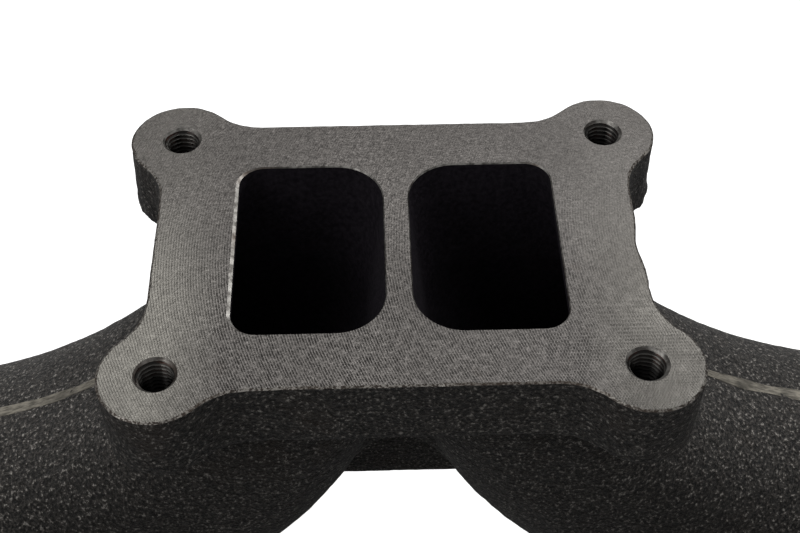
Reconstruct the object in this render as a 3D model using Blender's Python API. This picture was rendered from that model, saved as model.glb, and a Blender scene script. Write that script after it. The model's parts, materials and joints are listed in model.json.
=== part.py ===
"""Three-piece cast-iron turbocharger exhaust manifold for a heavy-duty inline six.

A centre casting carries the divided turbocharger flange and the ports of cylinders 3 and 4.
A front and a rear casting carry two ports each. Their machined spigots slide and swivel in
sockets of the centre casting, sealed by split rings, so that each casting can grow when hot.
Every port has a gasket and two bolts, each on a spacer sleeve.

Frame, in metres: the origin is the middle of the machined turbocharger face, on the divider
between its two openings. +Z points out of that face, +X runs along the log towards
cylinder 6, and -Y points at the cylinder head.
"""

import math

import bmesh
import bpy
from mathutils import Matrix, Vector

# Turbocharger flange
STUD_PITCH_X = 0.120
STUD_PITCH_Y = 0.084
EAR_RADIUS = 0.0145
FLANGE_HALF_X = 0.0643
FLANGE_HALF_Y = 0.0472
FLANGE_FILLET = 0.016
FLANGE_THICKNESS = 0.0228
TAP_DRILL_RADIUS = 0.00425
TAP_CHAMFER_RADIUS = 0.0058
DIVIDER_THICKNESS = 0.007
OPENING_WIDTH = 0.0395
OPENING_DEPTH = 0.060
OPENING_INNER_CORNER = 0.013
OPENING_OUTER_CORNER = 0.007

# Legs of the centre casting: each is swept round one bend centre in the XZ plane
WALL = 0.007
BEND_X = 0.162
BEND_Z = 0.061
BEND_RADIUS = 0.1385
LOG_RADIUS = 0.0425
OUTER_START_DEG = 38.0
INNER_START_DEG = 27.3
INNER_START_RADIUS = 0.181
INNER_FULL_DEG = 80.5
LEG_HALF_DEPTH = 0.034
LEG_OUTER_CORNER = 0.014
LEG_INNER_CORNER = 0.022
LEG_ROUND_SHARE = 0.8
LEG_STEPS = 9
PASSAGE_FIRST_SHARE = 0.06
WEB_THICKNESS = 0.010
WEB_TOP = -0.015
WEB_BOTTOM = -0.101
WEB_HALF_TOP = 0.005
WEB_HALF_BOTTOM = 0.036

# Log, slip joints and end castings
LOG_Z = BEND_Z - BEND_RADIUS - LOG_RADIUS
SOCKET_TAPER_X = 0.164
SOCKET_BOSS_X = 0.172
SOCKET_FLOOR_X = 0.168
SOCKET_MOUTH_X = 0.206
SOCKET_BOSS_RADIUS = 0.048
SOCKET_BORE_RADIUS = 0.038
SPIGOT_TIP_X = 0.174
SPIGOT_RADIUS = 0.037
SPIGOT_BORE_RADIUS = 0.0305
SPIGOT_CHAMFER = 0.001
SHOULDER_X = 0.211
SHOULDER_WIDTH = 0.008
SHOULDER_TAPER = 0.010
SHOULDER_RADIUS = 0.0445
TRUNK_RADIUS = 0.039
TRUNK_END_RADIUS = 0.0355
TRUNK_WALL = 0.0065

# Split sealing rings, two on each spigot
RING_OFFSETS = {"inner": 0.0060, "outer": 0.0130}
GROOVE_WIDTH = 0.0034
GROOVE_RADIUS = 0.0344
RING_WIDTH = 0.0028
RING_OUTER_RADIUS = 0.0375
RING_INNER_RADIUS = 0.0349
RING_GAP_DEG = 3.0
RINGS_X = SPIGOT_TIP_X + (sum(RING_OFFSETS.values()) + GROOVE_WIDTH) / 2

# Cylinder-head ports. Heights are along the port's own axis, from the log's axis to the head
CYLINDERS = 6
CYLINDER_PITCH = 0.170
HEAD_FACE = 0.100
PORT_HALF_WIDTH = 0.020
PORT_HALF_HEIGHT = 0.025
PORT_CORNER = 0.009
NECK_RADIUS = 0.028
NECK_START = 0.006
NECK_STEPS = 4
PORT_FLANGE_THICKNESS = 0.013
PORT_PAD_MARGIN = 0.010
PORT_PAD_CORNER = 0.014
PORT_EAR_RADIUS = 0.0135
PORT_BOLT_ALONG = 0.036
PORT_BOLT_UP = 0.054

# Gaskets, sleeves and bolts
SEAT_GAP = 0.0003
GASKET_THICKNESS = 0.0015
GASKET_INSET = 0.001
GASKET_OPENING_MARGIN = 0.001
BOLT_HOLE_RADIUS = 0.0056
BOLT_RADIUS = 0.005
BOLT_REACH = 0.062
BOLT_WASHER_RADIUS = 0.0095
BOLT_WASHER_THICKNESS = 0.0025
BOLT_HEX_ACROSS_FLATS = 0.015
BOLT_HEX_HEIGHT = 0.009
BOLT_CHAMFER = 0.001
SLEEVE_RADIUS = 0.009
SLEEVE_LENGTH = 0.025

# How finely round shapes are divided, how far a cutter runs past the face it opens, and the
# least turn (an area) that counts as a corner of a convex outline
ROUND_SEGMENTS = 28
EAR_SEGMENTS = 16
BOLT_SEGMENTS = 12
CORNER_SEGMENTS = 5
FILLET_SEGMENTS = 3
EAR_ARC_SEGMENTS = 9
HEX_SIDES = 6
DOME_DEGREES = (25, 50, 75)
SHARP_EDGE_DEG = 35
OVERRUN = 0.002
MERGE_DISTANCE = 1e-7
HULL_TOLERANCE = 1e-10

# The two ends of the engine, their direction along X and the cylinders of their castings
ENDS = {"front": -1, "rear": 1}
END_CYLINDERS = {"front": (1, 2), "rear": (5, 6)}

# Turns local Z towards the head, and puts local Z on the log's axis towards the rear
HEAD_SIDE = Matrix.Rotation(math.radians(90), 4, "X")
ON_LOG = Matrix.Translation((0, 0, LOG_Z)) @ Matrix.Rotation(math.radians(90), 4, "Y")


def clear_scene():
    for thing in list(bpy.data.objects):
        bpy.data.objects.remove(thing)


def make_material(name, colour, roughness, metallic):
    material = bpy.data.materials.new(name)
    material.use_nodes = True
    shader = material.node_tree.nodes["Principled BSDF"]
    shader.inputs["Base Color"].default_value = (*colour, 1.0)
    shader.inputs["Roughness"].default_value = roughness
    shader.inputs["Metallic"].default_value = metallic
    return material


def make_mesh(name, bm, material=None):
    """Turns a finished bmesh into a mesh with its faces pointing out."""
    bmesh.ops.recalc_face_normals(bm, faces=bm.faces)
    mesh = bpy.data.meshes.new(name)
    bm.to_mesh(mesh)
    bm.free()
    mesh.shade_smooth()
    mesh.set_sharp_from_angle(angle=math.radians(SHARP_EDGE_DEG))
    if material:
        mesh.materials.append(material)
    return mesh


def add_object(name, data, place=Matrix.Identity(4), parent=None):
    """Puts an object into the scene; its place is in its parent's frame. No data makes an empty."""
    thing = bpy.data.objects.new(name, data)
    bpy.context.scene.collection.objects.link(thing)
    thing.matrix_basis = place
    thing.parent = parent
    return thing


def combine(target, name, bm, operation):
    """Joins a hidden helper to the target, or cuts it out of the target."""
    helper = add_object(name, make_mesh(name, bm), parent=target)
    helper.hide_render = True
    helper.display_type = "WIRE"
    modifier = target.modifiers.new(name, "BOOLEAN")
    modifier.operation = operation
    modifier.object = helper
    modifier.solver = "EXACT"


def loft(rings):
    """A closed solid through rings of equal length, capped at both ends."""
    bm = bmesh.new()
    loops = [[bm.verts.new(point) for point in ring] for ring in rings]
    for lower, upper in zip(loops, loops[1:]):
        for i in range(len(lower)):
            j = (i + 1) % len(lower)
            bm.faces.new((lower[i], lower[j], upper[j], upper[i]))
    bm.faces.new(loops[0])
    bm.faces.new(loops[-1])
    return bm


def circle(radius, height, segments):
    """Points of a circle about local Z, starting half a step from local X."""
    half_step = 180 / segments
    points = arc((0, 0), radius, half_step, 360 + half_step, segments)[1:]
    return [Vector((x, y, height)) for x, y in points]


def hexagon(apothem, height):
    """Points of a hexagon about local Z: its six corners and the middles of its six sides."""
    step = math.pi / HEX_SIDES
    points = []
    for i in range(2 * HEX_SIDES):
        radius = apothem if i % 2 else apothem / math.cos(step)
        angle = step * (i + 0.5)
        points.append(Vector((radius * math.cos(angle), radius * math.sin(angle), height)))
    return points


def turned(profile, place, segments=ROUND_SEGMENTS, closed=False):
    """A solid of revolution about local Z from (radius, height) points, moved to its place.

    A closed profile makes a tube; an open one is capped flat at both ends.
    """
    rings = [circle(radius, height, segments) for radius, height in profile]
    bm = loft(rings + rings[:1]) if closed else loft(rings)
    if closed:
        caps = [face for face in bm.faces if len(face.verts) == segments]
        bmesh.ops.delete(bm, geom=caps, context="FACES_ONLY")
        bmesh.ops.remove_doubles(bm, verts=bm.verts, dist=MERGE_DISTANCE)
    bmesh.ops.transform(bm, matrix=place, verts=bm.verts)
    return bm


def prism(outline, low, high, place=Matrix.Identity(4)):
    """A solid with a flat outline in local XY between two heights, moved to its place."""
    rings = [[Vector((x, y, height)) for x, y in outline] for height in (low, high)]
    bm = loft(rings)
    bmesh.ops.transform(bm, matrix=place, verts=bm.verts)
    return bm


def pierced_plate(outlines, low, high):
    """A flat plate between two heights: the first outline is its edge, the others are holes."""
    bm = bmesh.new()
    edges = []
    for outline in outlines:
        corners = [bm.verts.new((x, y, low)) for x, y in outline]
        for start, end in zip(corners, corners[1:] + corners[:1]):
            edges.append(bm.edges.new((start, end)))
    bmesh.ops.triangle_fill(bm, edges=edges, use_beauty=True)
    raised = bmesh.ops.extrude_face_region(bm, geom=bm.faces)["geom"]
    corners = [item for item in raised if isinstance(item, bmesh.types.BMVert)]
    bmesh.ops.translate(bm, verts=corners, vec=(0, 0, high - low))
    return bm


def arc(centre, radius, start_deg, end_deg, segments):
    """Points of an arc, both ends included."""
    points = []
    for i in range(segments + 1):
        angle = math.radians(start_deg + (end_deg - start_deg) * i / segments)
        points.append((centre[0] + radius * math.cos(angle), centre[1] + radius * math.sin(angle)))
    return points


def convex_outline(points):
    """The convex outline round a set of flat points, in order."""
    outline = []
    points = sorted(points)
    for run in (points, points[::-1]):
        chain = []
        for x, y in run:
            while len(chain) > 1:
                (ax, ay), (bx, by) = chain[-2:]
                if (bx - ax) * (y - ay) - (by - ay) * (x - ax) > HULL_TOLERANCE:
                    break
                chain.pop()
            chain.append((x, y))
        outline += chain[:-1]
    return outline


def rounded_rectangle(half_u, half_v, corner_plus, corner_minus):
    """Points of a rectangle in (u, v) whose corners at +u and -u have their own radii.

    A full radius gives a regular circle, so rings of this kind loft from square to round.
    """
    points = []
    corners = ((1, 1, 0), (-1, 1, 90), (-1, -1, 180), (1, -1, 270))
    for sign_u, sign_v, start in corners:
        radius = corner_plus if sign_u > 0 else corner_minus
        centre_u = sign_u * (half_u - radius)
        centre_v = sign_v * (half_v - radius)
        for i in range(CORNER_SEGMENTS):
            angle = math.radians(start + 90 * (i + 0.5) / CORNER_SEGMENTS)
            u = centre_u + radius * math.cos(angle)
            points.append((u, centre_v + radius * math.sin(angle)))
    return points


def ring_between(outer, inner, half_depth, corner_outer, corner_inner):
    """A ring in the plane of the two rail points (x, z) and Y, spanning from rail to rail."""
    outer = Vector((outer[0], 0, outer[1]))
    inner = Vector((inner[0], 0, inner[1]))
    half = (outer - inner).length / 2
    centre = (outer + inner) / 2
    along = (outer - inner).normalized()
    corner_outer = min(corner_outer, half, half_depth)
    corner_inner = min(corner_inner, half, half_depth)
    outline = rounded_rectangle(half, half_depth, corner_outer, corner_inner)
    return [centre + along * u + Vector((0, v, 0)) for u, v in outline]


def mirrored(rings, side):
    return [[Vector((side * p.x, p.y, p.z)) for p in ring] for ring in rings]


def blend(start, end, share):
    return start + (end - start) * share


def flange_outline():
    """The turbocharger flange: a waisted rectangle with a round ear at each corner."""
    ear = (STUD_PITCH_X / 2, STUD_PITCH_Y / 2)
    reach = EAR_RADIUS + FLANGE_FILLET
    side_x = FLANGE_HALF_X + FLANGE_FILLET
    side_y = ear[1] - math.sqrt(reach**2 - (side_x - ear[0]) ** 2)
    end_y = FLANGE_HALF_Y + FLANGE_FILLET
    end_x = ear[0] - math.sqrt(reach**2 - (end_y - ear[1]) ** 2)
    side_deg = math.degrees(math.atan2(ear[1] - side_y, ear[0] - side_x))
    end_deg = math.degrees(math.atan2(end_y - ear[1], end_x - ear[0]))
    quarter = arc((side_x, side_y), FLANGE_FILLET, 180, side_deg, FILLET_SEGMENTS)
    quarter += arc(ear, EAR_RADIUS, side_deg - 180, end_deg, EAR_ARC_SEGMENTS)[1:]
    quarter += arc((end_x, end_y), FLANGE_FILLET, end_deg - 180, -90, FILLET_SEGMENTS)[1:]
    outline = list(quarter)
    outline += [(-x, y) for x, y in reversed(quarter)]
    outline += [(-x, -y) for x, y in quarter]
    outline += [(x, -y) for x, y in reversed(quarter)]
    return outline


def leg_rails(share, offset):
    """The (x, z) points of a leg's outer and inner wall, moved into the wall by offset."""
    outer_deg = blend(OUTER_START_DEG, 90, share)
    inner_deg = blend(INNER_START_DEG, 90, share)
    opened = min(1.0, (inner_deg - INNER_START_DEG) / (INNER_FULL_DEG - INNER_START_DEG))
    full_radius = BEND_RADIUS + 2 * LOG_RADIUS
    inner_radius = blend(INNER_START_RADIUS, full_radius, 1 - (1 - opened) ** 2)
    rails = []
    for degrees, radius in ((outer_deg, BEND_RADIUS + offset), (inner_deg, inner_radius - offset)):
        angle = math.radians(degrees)
        rails.append((BEND_X - radius * math.cos(angle), BEND_Z - radius * math.sin(angle)))
    return rails


def leg_rings(offset, first_share):
    """Rings of one leg from the flange to the log, shrunk by offset, each rounder than the last."""
    rings = []
    for step in range(LEG_STEPS + 1):
        share = blend(first_share, 1.0, step / LEG_STEPS)
        outer, inner = leg_rails(share, offset)
        roundness = min(1.0, share / LEG_ROUND_SHARE)
        half_depth = blend(LEG_HALF_DEPTH, LOG_RADIUS, roundness) - offset
        corner_outer = blend(LEG_OUTER_CORNER, LOG_RADIUS, roundness) - offset
        corner_inner = blend(LEG_INNER_CORNER, LOG_RADIUS, roundness) - offset
        rings.append(ring_between(outer, inner, half_depth, corner_outer, corner_inner))
    return rings


def log_ring(x, radius):
    """A round ring about the log's axis."""
    outline = rounded_rectangle(radius, radius, radius, radius)
    return [Vector((x, v, LOG_Z + u)) for u, v in outline]


def leg_outside(side):
    """The outside of one leg, from half-way up the flange to the socket's mouth."""
    rails = [(x, -FLANGE_THICKNESS / 2) for x, _ in leg_rails(0, 0)]
    rings = [ring_between(*rails, LEG_HALF_DEPTH, LEG_OUTER_CORNER, LEG_INNER_CORNER)]
    rings += leg_rings(0, 0)
    rings.append(log_ring(SOCKET_TAPER_X, LOG_RADIUS))
    rings.append(log_ring(SOCKET_BOSS_X, SOCKET_BOSS_RADIUS))
    rings.append(log_ring(SOCKET_MOUTH_X, SOCKET_BOSS_RADIUS))
    return loft(mirrored(rings, side))


def leg_passage(side):
    """The hollow of one leg: square opening at the flange, round at the log."""
    inner_x = DIVIDER_THICKNESS / 2
    outer_x = inner_x + OPENING_WIDTH
    half_depth = OPENING_DEPTH / 2
    rings = []
    for height in (OVERRUN, -OVERRUN):
        rings.append(ring_between((outer_x, height), (inner_x, height), half_depth,
                                  OPENING_OUTER_CORNER, OPENING_INNER_CORNER))
    rings += leg_rings(WALL, PASSAGE_FIRST_SHARE)
    rings.append(log_ring(SOCKET_FLOOR_X + OVERRUN, LOG_RADIUS - WALL))
    return loft(mirrored(rings, side))


def port_place(x):
    """A port's own frame: local X along the log, local Y up, local Z from the log to the head."""
    return Matrix.Translation((x, 0, LOG_Z)) @ HEAD_SIDE


def bolt_offsets(x):
    """Where a port's two bolts sit in its frame. The upper one is on the side away from the turbo."""
    outward = math.copysign(PORT_BOLT_ALONG, x)
    return {"upper": (outward, PORT_BOLT_UP), "lower": (-outward, -PORT_BOLT_UP)}


def port_neck(place, offset, start, end):
    """A neck from the log to the head, round at first and squarer later, shrunk by offset."""
    rings = []
    for step in range(NECK_STEPS + 1):
        share = step / NECK_STEPS
        half_width = blend(NECK_RADIUS, PORT_HALF_WIDTH + WALL, share) - offset
        half_height = blend(NECK_RADIUS, PORT_HALF_HEIGHT + WALL, share) - offset
        corner = blend(NECK_RADIUS, PORT_CORNER + WALL, share) - offset
        corner = min(corner, half_width)
        outline = rounded_rectangle(half_width, half_height, corner, corner)
        height = blend(start, end, share)
        rings.append([place @ Vector((x, y, height)) for x, y in outline])
    return loft(rings)


def port_flange_outline(x, inset=0.0):
    """A two-bolt port flange: its middle pad and its two ears, wrapped by straight edges."""
    half_width = PORT_HALF_WIDTH + PORT_PAD_MARGIN - inset
    half_height = PORT_HALF_HEIGHT + PORT_PAD_MARGIN - inset
    points = rounded_rectangle(half_width, half_height, PORT_PAD_CORNER, PORT_PAD_CORNER)
    for ear in bolt_offsets(x).values():
        points += arc(ear, PORT_EAR_RADIUS - inset, 0, 360, EAR_SEGMENTS)
    return convex_outline(points)


def add_ports(casting, cylinders):
    """Joins each cylinder's neck and flange to a casting, and returns the cutters to apply last."""
    cutters = {}
    seat = HEAD_FACE - PORT_FLANGE_THICKNESS
    for number, x in cylinders.items():
        place = port_place(x)
        neck = port_neck(place, 0, NECK_START, (seat + HEAD_FACE) / 2)
        combine(casting, f"neck_{number}", neck, "UNION")
        plate = prism(port_flange_outline(x), seat, HEAD_FACE, place)
        combine(casting, f"port_flange_{number}", plate, "UNION")
        passage = port_neck(place, WALL, NECK_START, HEAD_FACE + OVERRUN)
        cutters[f"port_passage_{number}"] = passage
        for spot, offset in bolt_offsets(x).items():
            profile = [(BOLT_HOLE_RADIUS, seat - OVERRUN), (BOLT_HOLE_RADIUS, HEAD_FACE + OVERRUN)]
            hole = turned(profile, place @ Matrix.Translation((*offset, 0)), BOLT_SEGMENTS)
            cutters[f"port_{number}_{spot}_bolt_hole"] = hole
    return cutters


def tapped_hole(sign_x, sign_y):
    """Cutter for one threaded hole of the turbocharger flange, with its chamfer."""
    spot = Vector((sign_x * STUD_PITCH_X / 2, sign_y * STUD_PITCH_Y / 2, 0))
    chamfer = TAP_CHAMFER_RADIUS - TAP_DRILL_RADIUS
    profile = [
        (TAP_DRILL_RADIUS, -FLANGE_THICKNESS - OVERRUN),
        (TAP_DRILL_RADIUS, -chamfer),
        (TAP_CHAMFER_RADIUS, 0),
        (TAP_CHAMFER_RADIUS, OVERRUN),
    ]
    return turned(profile, Matrix.Translation(spot), BOLT_SEGMENTS)


def make_web():
    """The stiffening web in the casting's parting plane, between the two legs."""
    outline = [
        (-WEB_HALF_BOTTOM, WEB_BOTTOM),
        (WEB_HALF_BOTTOM, WEB_BOTTOM),
        (WEB_HALF_TOP, WEB_TOP),
        (-WEB_HALF_TOP, WEB_TOP),
    ]
    return prism(outline, -WEB_THICKNESS / 2, WEB_THICKNESS / 2, HEAD_SIDE)


def make_centre_section(material, cylinders):
    flange = prism(flange_outline(), -FLANGE_THICKNESS, 0)
    casting = add_object("centre_section", make_mesh("centre_section", flange, material))
    for end, side in ENDS.items():
        combine(casting, f"{end}_leg", leg_outside(side), "UNION")
    combine(casting, "web", make_web(), "UNION")
    cutters = add_ports(casting, cylinders)
    for end, side in ENDS.items():
        cutters[f"{end}_passage"] = leg_passage(side)
        profile = [(SOCKET_BORE_RADIUS, side * SOCKET_FLOOR_X)]
        profile.append((SOCKET_BORE_RADIUS, side * (SOCKET_MOUTH_X + OVERRUN)))
        cutters[f"{end}_socket_bore"] = turned(profile, ON_LOG)
    for sign_x in (-1, 1):
        for sign_y in (-1, 1):
            cutters[f"tapped_hole_{sign_x}_{sign_y}"] = tapped_hole(sign_x, sign_y)
    for name, cutter in cutters.items():
        combine(casting, name, cutter, "DIFFERENCE")


def trunk_rings(first_x, last_x, offset):
    """Rings of an end casting's trunk, ending in a dome over its last port."""
    end = TRUNK_END_RADIUS - offset
    rings = [log_ring(first_x, TRUNK_RADIUS - offset), log_ring(last_x, end)]
    for degrees in DOME_DEGREES:
        angle = math.radians(degrees)
        rings.append(log_ring(last_x + end * math.sin(angle), end * math.cos(angle)))
    return rings


def spigot_profile(side):
    """The machined spigot with its two ring grooves and its shoulder, as (radius, x) points."""
    points = [(SPIGOT_RADIUS - SPIGOT_CHAMFER, SPIGOT_TIP_X)]
    points.append((SPIGOT_RADIUS, SPIGOT_TIP_X + SPIGOT_CHAMFER))
    for start in RING_OFFSETS.values():
        low = SPIGOT_TIP_X + start
        high = low + GROOVE_WIDTH
        points += [(SPIGOT_RADIUS, low), (GROOVE_RADIUS, low)]
        points += [(GROOVE_RADIUS, high), (SPIGOT_RADIUS, high)]
    taper_x = SHOULDER_X + SHOULDER_WIDTH
    points += [(SPIGOT_RADIUS, SHOULDER_X), (SHOULDER_RADIUS, SHOULDER_X)]
    points += [(SHOULDER_RADIUS, taper_x), (TRUNK_RADIUS, taper_x + SHOULDER_TAPER)]
    return [(radius, side * x) for radius, x in points]


def make_end_section(end, axis, material, cylinders):
    """An end casting, built in the common frame and hung on its slip joint's empty."""
    side = ENDS[end]
    name = f"{end}_section"
    casting = add_object(name, make_mesh(name, turned(spigot_profile(side), ON_LOG), material))
    casting.parent = axis
    casting.matrix_parent_inverse = axis.matrix_basis.inverted()
    trunk_x = SHOULDER_X + SHOULDER_WIDTH + SHOULDER_TAPER
    last_x = max(abs(x) for x in cylinders.values())
    trunk = loft(mirrored(trunk_rings(trunk_x - OVERRUN, last_x, 0), side))
    combine(casting, f"{end}_trunk", trunk, "UNION")
    cutters = add_ports(casting, cylinders)
    hollow = loft(mirrored(trunk_rings(trunk_x - 2 * OVERRUN, last_x, TRUNK_WALL), side))
    cutters[f"{end}_trunk_passage"] = hollow
    profile = [(SPIGOT_BORE_RADIUS, side * (SPIGOT_TIP_X - OVERRUN))]
    profile.append((SPIGOT_BORE_RADIUS, side * (trunk_x + OVERRUN)))
    cutters[f"{end}_spigot_bore"] = turned(profile, ON_LOG)
    for name, cutter in cutters.items():
        combine(casting, name, cutter, "DIFFERENCE")


def seal_ring_mesh(material):
    """A split ring of rectangular section about local Z, with its gap on local -X."""
    profile = [
        (RING_INNER_RADIUS, -RING_WIDTH / 2),
        (RING_OUTER_RADIUS, -RING_WIDTH / 2),
        (RING_OUTER_RADIUS, RING_WIDTH / 2),
        (RING_INNER_RADIUS, RING_WIDTH / 2),
    ]
    sections = []
    for x, y in arc((0, 0), 1, RING_GAP_DEG / 2 - 180, 180 - RING_GAP_DEG / 2, ROUND_SEGMENTS):
        sections.append([Vector((x * radius, y * radius, z)) for radius, z in profile])
    return make_mesh("seal_ring", loft(sections), material)


def gasket_mesh(x, material):
    """A port gasket from the port flange's face outwards, in the frame of the port at x."""
    half_width = PORT_HALF_WIDTH + GASKET_OPENING_MARGIN
    half_height = PORT_HALF_HEIGHT + GASKET_OPENING_MARGIN
    outlines = [port_flange_outline(x, GASKET_INSET)]
    outlines.append(rounded_rectangle(half_width, half_height, PORT_CORNER, PORT_CORNER))
    for offset in bolt_offsets(x).values():
        outlines.append(arc(offset, BOLT_HOLE_RADIUS, 0, 360, BOLT_SEGMENTS)[1:])
    return make_mesh("gasket", pierced_plate(outlines, 0, GASKET_THICKNESS), material)


def sleeve_mesh(material):
    """A spacer sleeve, from its seat on the port flange down to the bolt's head."""
    profile = [(BOLT_HOLE_RADIUS, -SLEEVE_LENGTH), (SLEEVE_RADIUS, -SLEEVE_LENGTH)]
    profile += [(SLEEVE_RADIUS, 0), (BOLT_HOLE_RADIUS, 0)]
    tube = turned(profile, Matrix.Identity(4), BOLT_SEGMENTS, closed=True)
    return make_mesh("sleeve", tube, material)


def bolt_mesh(material):
    """A flanged hex bolt with its bearing face at height 0 and its shank along +Z."""
    washer_top = -BOLT_WASHER_THICKNESS
    head_top = washer_top - BOLT_HEX_HEIGHT
    apothem = BOLT_HEX_ACROSS_FLATS / 2
    circles = [
        (BOLT_RADIUS - BOLT_CHAMFER, BOLT_REACH),
        (BOLT_RADIUS, BOLT_REACH - BOLT_CHAMFER),
        (BOLT_RADIUS, 0),
        (BOLT_WASHER_RADIUS, 0),
        (BOLT_WASHER_RADIUS, washer_top + BOLT_CHAMFER),
    ]
    sections = [circle(radius, height, BOLT_SEGMENTS) for radius, height in circles]
    sections.append(hexagon(apothem, washer_top))
    sections.append(hexagon(apothem, head_top + BOLT_CHAMFER))
    sections.append(circle(apothem - BOLT_CHAMFER, head_top, BOLT_SEGMENTS))
    return make_mesh("bolt", loft(sections), material)


def fasten_port(number, port, x, meshes):
    """Hangs a port's gasket, sleeves and bolts on its empty, in the port's own frame."""
    on_face = Matrix.Translation((0, 0, HEAD_FACE + SEAT_GAP))
    gasket = meshes["gasket_front"] if x < 0 else meshes["gasket_rear"]
    add_object(f"port_{number}_gasket", gasket, on_face, port)
    seat = HEAD_FACE - PORT_FLANGE_THICKNESS - SEAT_GAP
    bearing = seat - SLEEVE_LENGTH - SEAT_GAP
    for spot, offset in bolt_offsets(x).items():
        sleeve_place = Matrix.Translation((*offset, seat))
        add_object(f"port_{number}_{spot}_sleeve", meshes["sleeve"], sleeve_place, port)
        bolt_place = Matrix.Translation((*offset, bearing))
        add_object(f"port_{number}_{spot}_bolt", meshes["bolt"], bolt_place, port)


def main():
    clear_scene()
    iron = make_material("cast_iron", (0.045, 0.042, 0.038), 0.75, 0.6)
    ring_iron = make_material("ring_iron", (0.30, 0.29, 0.28), 0.35, 1.0)
    gasket_steel = make_material("gasket_steel", (0.42, 0.42, 0.43), 0.40, 1.0)
    bolt_steel = make_material("bolt_steel", (0.20, 0.19, 0.18), 0.45, 1.0)
    sleeve_steel = make_material("sleeve_steel", (0.34, 0.34, 0.35), 0.40, 1.0)

    ring = seal_ring_mesh(ring_iron)
    meshes = {
        "gasket_front": gasket_mesh(-CYLINDER_PITCH, gasket_steel),
        "gasket_rear": gasket_mesh(CYLINDER_PITCH, gasket_steel),
        "sleeve": sleeve_mesh(sleeve_steel),
        "bolt": bolt_mesh(bolt_steel),
    }
    middle = (CYLINDERS + 1) / 2
    cylinders = {n: (n - middle) * CYLINDER_PITCH for n in range(1, CYLINDERS + 1)}
    make_centre_section(iron, {number: cylinders[number] for number in (3, 4)})
    axes = {3: None, 4: None}
    for end, side in ENDS.items():
        axis = add_object(f"{end}_slip_axis", None, Matrix.Translation((side * RINGS_X, 0, 0)) @ ON_LOG)
        for number in END_CYLINDERS[end]:
            axes[number] = axis
        make_end_section(end, axis, iron, {n: cylinders[n] for n in END_CYLINDERS[end]})
        for place, offset in RING_OFFSETS.items():
            height = side * (SPIGOT_TIP_X + offset + GROOVE_WIDTH / 2 - RINGS_X)
            add_object(f"{end}_seal_ring_{place}", ring, Matrix.Translation((0, 0, height)), axis)
    for number, x in cylinders.items():
        axis = axes[number]
        port = add_object(f"port_{number}", None, port_place(x))
        if axis:
            port.parent = axis
            port.matrix_parent_inverse = axis.matrix_basis.inverted()
        fasten_port(number, port, x, meshes)


main()
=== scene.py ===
"""Looks of the three-piece turbocharger exhaust manifold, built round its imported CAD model.

Each iron casting is made the way the foundry and the machine shop make it: solids are joined
and smoothed into one cast skin, the skin is roughened like moulding sand, and then the
passages, bores, tapped holes and flat faces are cut out of it with crisp edges.
Lengths are in metres, in the CAD model's frame.
"""

import json
import math

import bmesh
import bpy
import numpy as np
from mathutils import Matrix, Vector, noise

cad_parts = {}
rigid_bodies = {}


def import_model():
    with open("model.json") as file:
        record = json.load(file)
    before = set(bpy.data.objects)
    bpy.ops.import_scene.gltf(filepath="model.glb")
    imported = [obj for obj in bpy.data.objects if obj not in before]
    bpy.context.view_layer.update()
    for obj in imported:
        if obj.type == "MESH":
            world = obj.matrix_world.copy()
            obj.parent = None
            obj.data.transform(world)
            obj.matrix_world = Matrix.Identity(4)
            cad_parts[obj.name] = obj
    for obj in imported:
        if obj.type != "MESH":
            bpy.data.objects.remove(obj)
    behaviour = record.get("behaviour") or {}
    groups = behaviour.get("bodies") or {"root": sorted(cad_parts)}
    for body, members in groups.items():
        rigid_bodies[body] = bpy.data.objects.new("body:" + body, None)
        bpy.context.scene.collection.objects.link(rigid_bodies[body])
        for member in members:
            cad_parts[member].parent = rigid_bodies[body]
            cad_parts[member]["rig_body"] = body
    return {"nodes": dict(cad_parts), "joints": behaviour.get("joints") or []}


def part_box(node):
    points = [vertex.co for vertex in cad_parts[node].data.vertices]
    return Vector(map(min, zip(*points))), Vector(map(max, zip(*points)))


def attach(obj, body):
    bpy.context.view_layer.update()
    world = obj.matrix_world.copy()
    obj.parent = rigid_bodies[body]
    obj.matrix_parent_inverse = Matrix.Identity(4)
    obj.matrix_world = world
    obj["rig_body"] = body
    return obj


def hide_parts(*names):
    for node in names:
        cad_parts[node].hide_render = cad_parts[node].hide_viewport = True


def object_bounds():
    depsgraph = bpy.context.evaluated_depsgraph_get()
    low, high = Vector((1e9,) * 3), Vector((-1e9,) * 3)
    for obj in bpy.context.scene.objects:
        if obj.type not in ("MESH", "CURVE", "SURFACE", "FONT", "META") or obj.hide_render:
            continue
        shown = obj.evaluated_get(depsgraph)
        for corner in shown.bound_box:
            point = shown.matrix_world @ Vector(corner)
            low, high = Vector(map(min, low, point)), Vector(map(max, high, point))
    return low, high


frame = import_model()
cad_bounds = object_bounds()

# Turbocharger flange
STUD_PITCH_X = 0.120
STUD_PITCH_Y = 0.084
EAR_RADIUS = 0.0145
FLANGE_HALF_X = 0.0643
FLANGE_HALF_Y = 0.0472
FLANGE_FILLET = 0.016
FLANGE_THICKNESS = 0.0228
DIVIDER_THICKNESS = 0.007
OPENING_WIDTH = 0.0395
OPENING_DEPTH = 0.060
OPENING_INNER_CORNER = 0.013
OPENING_OUTER_CORNER = 0.007

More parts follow.
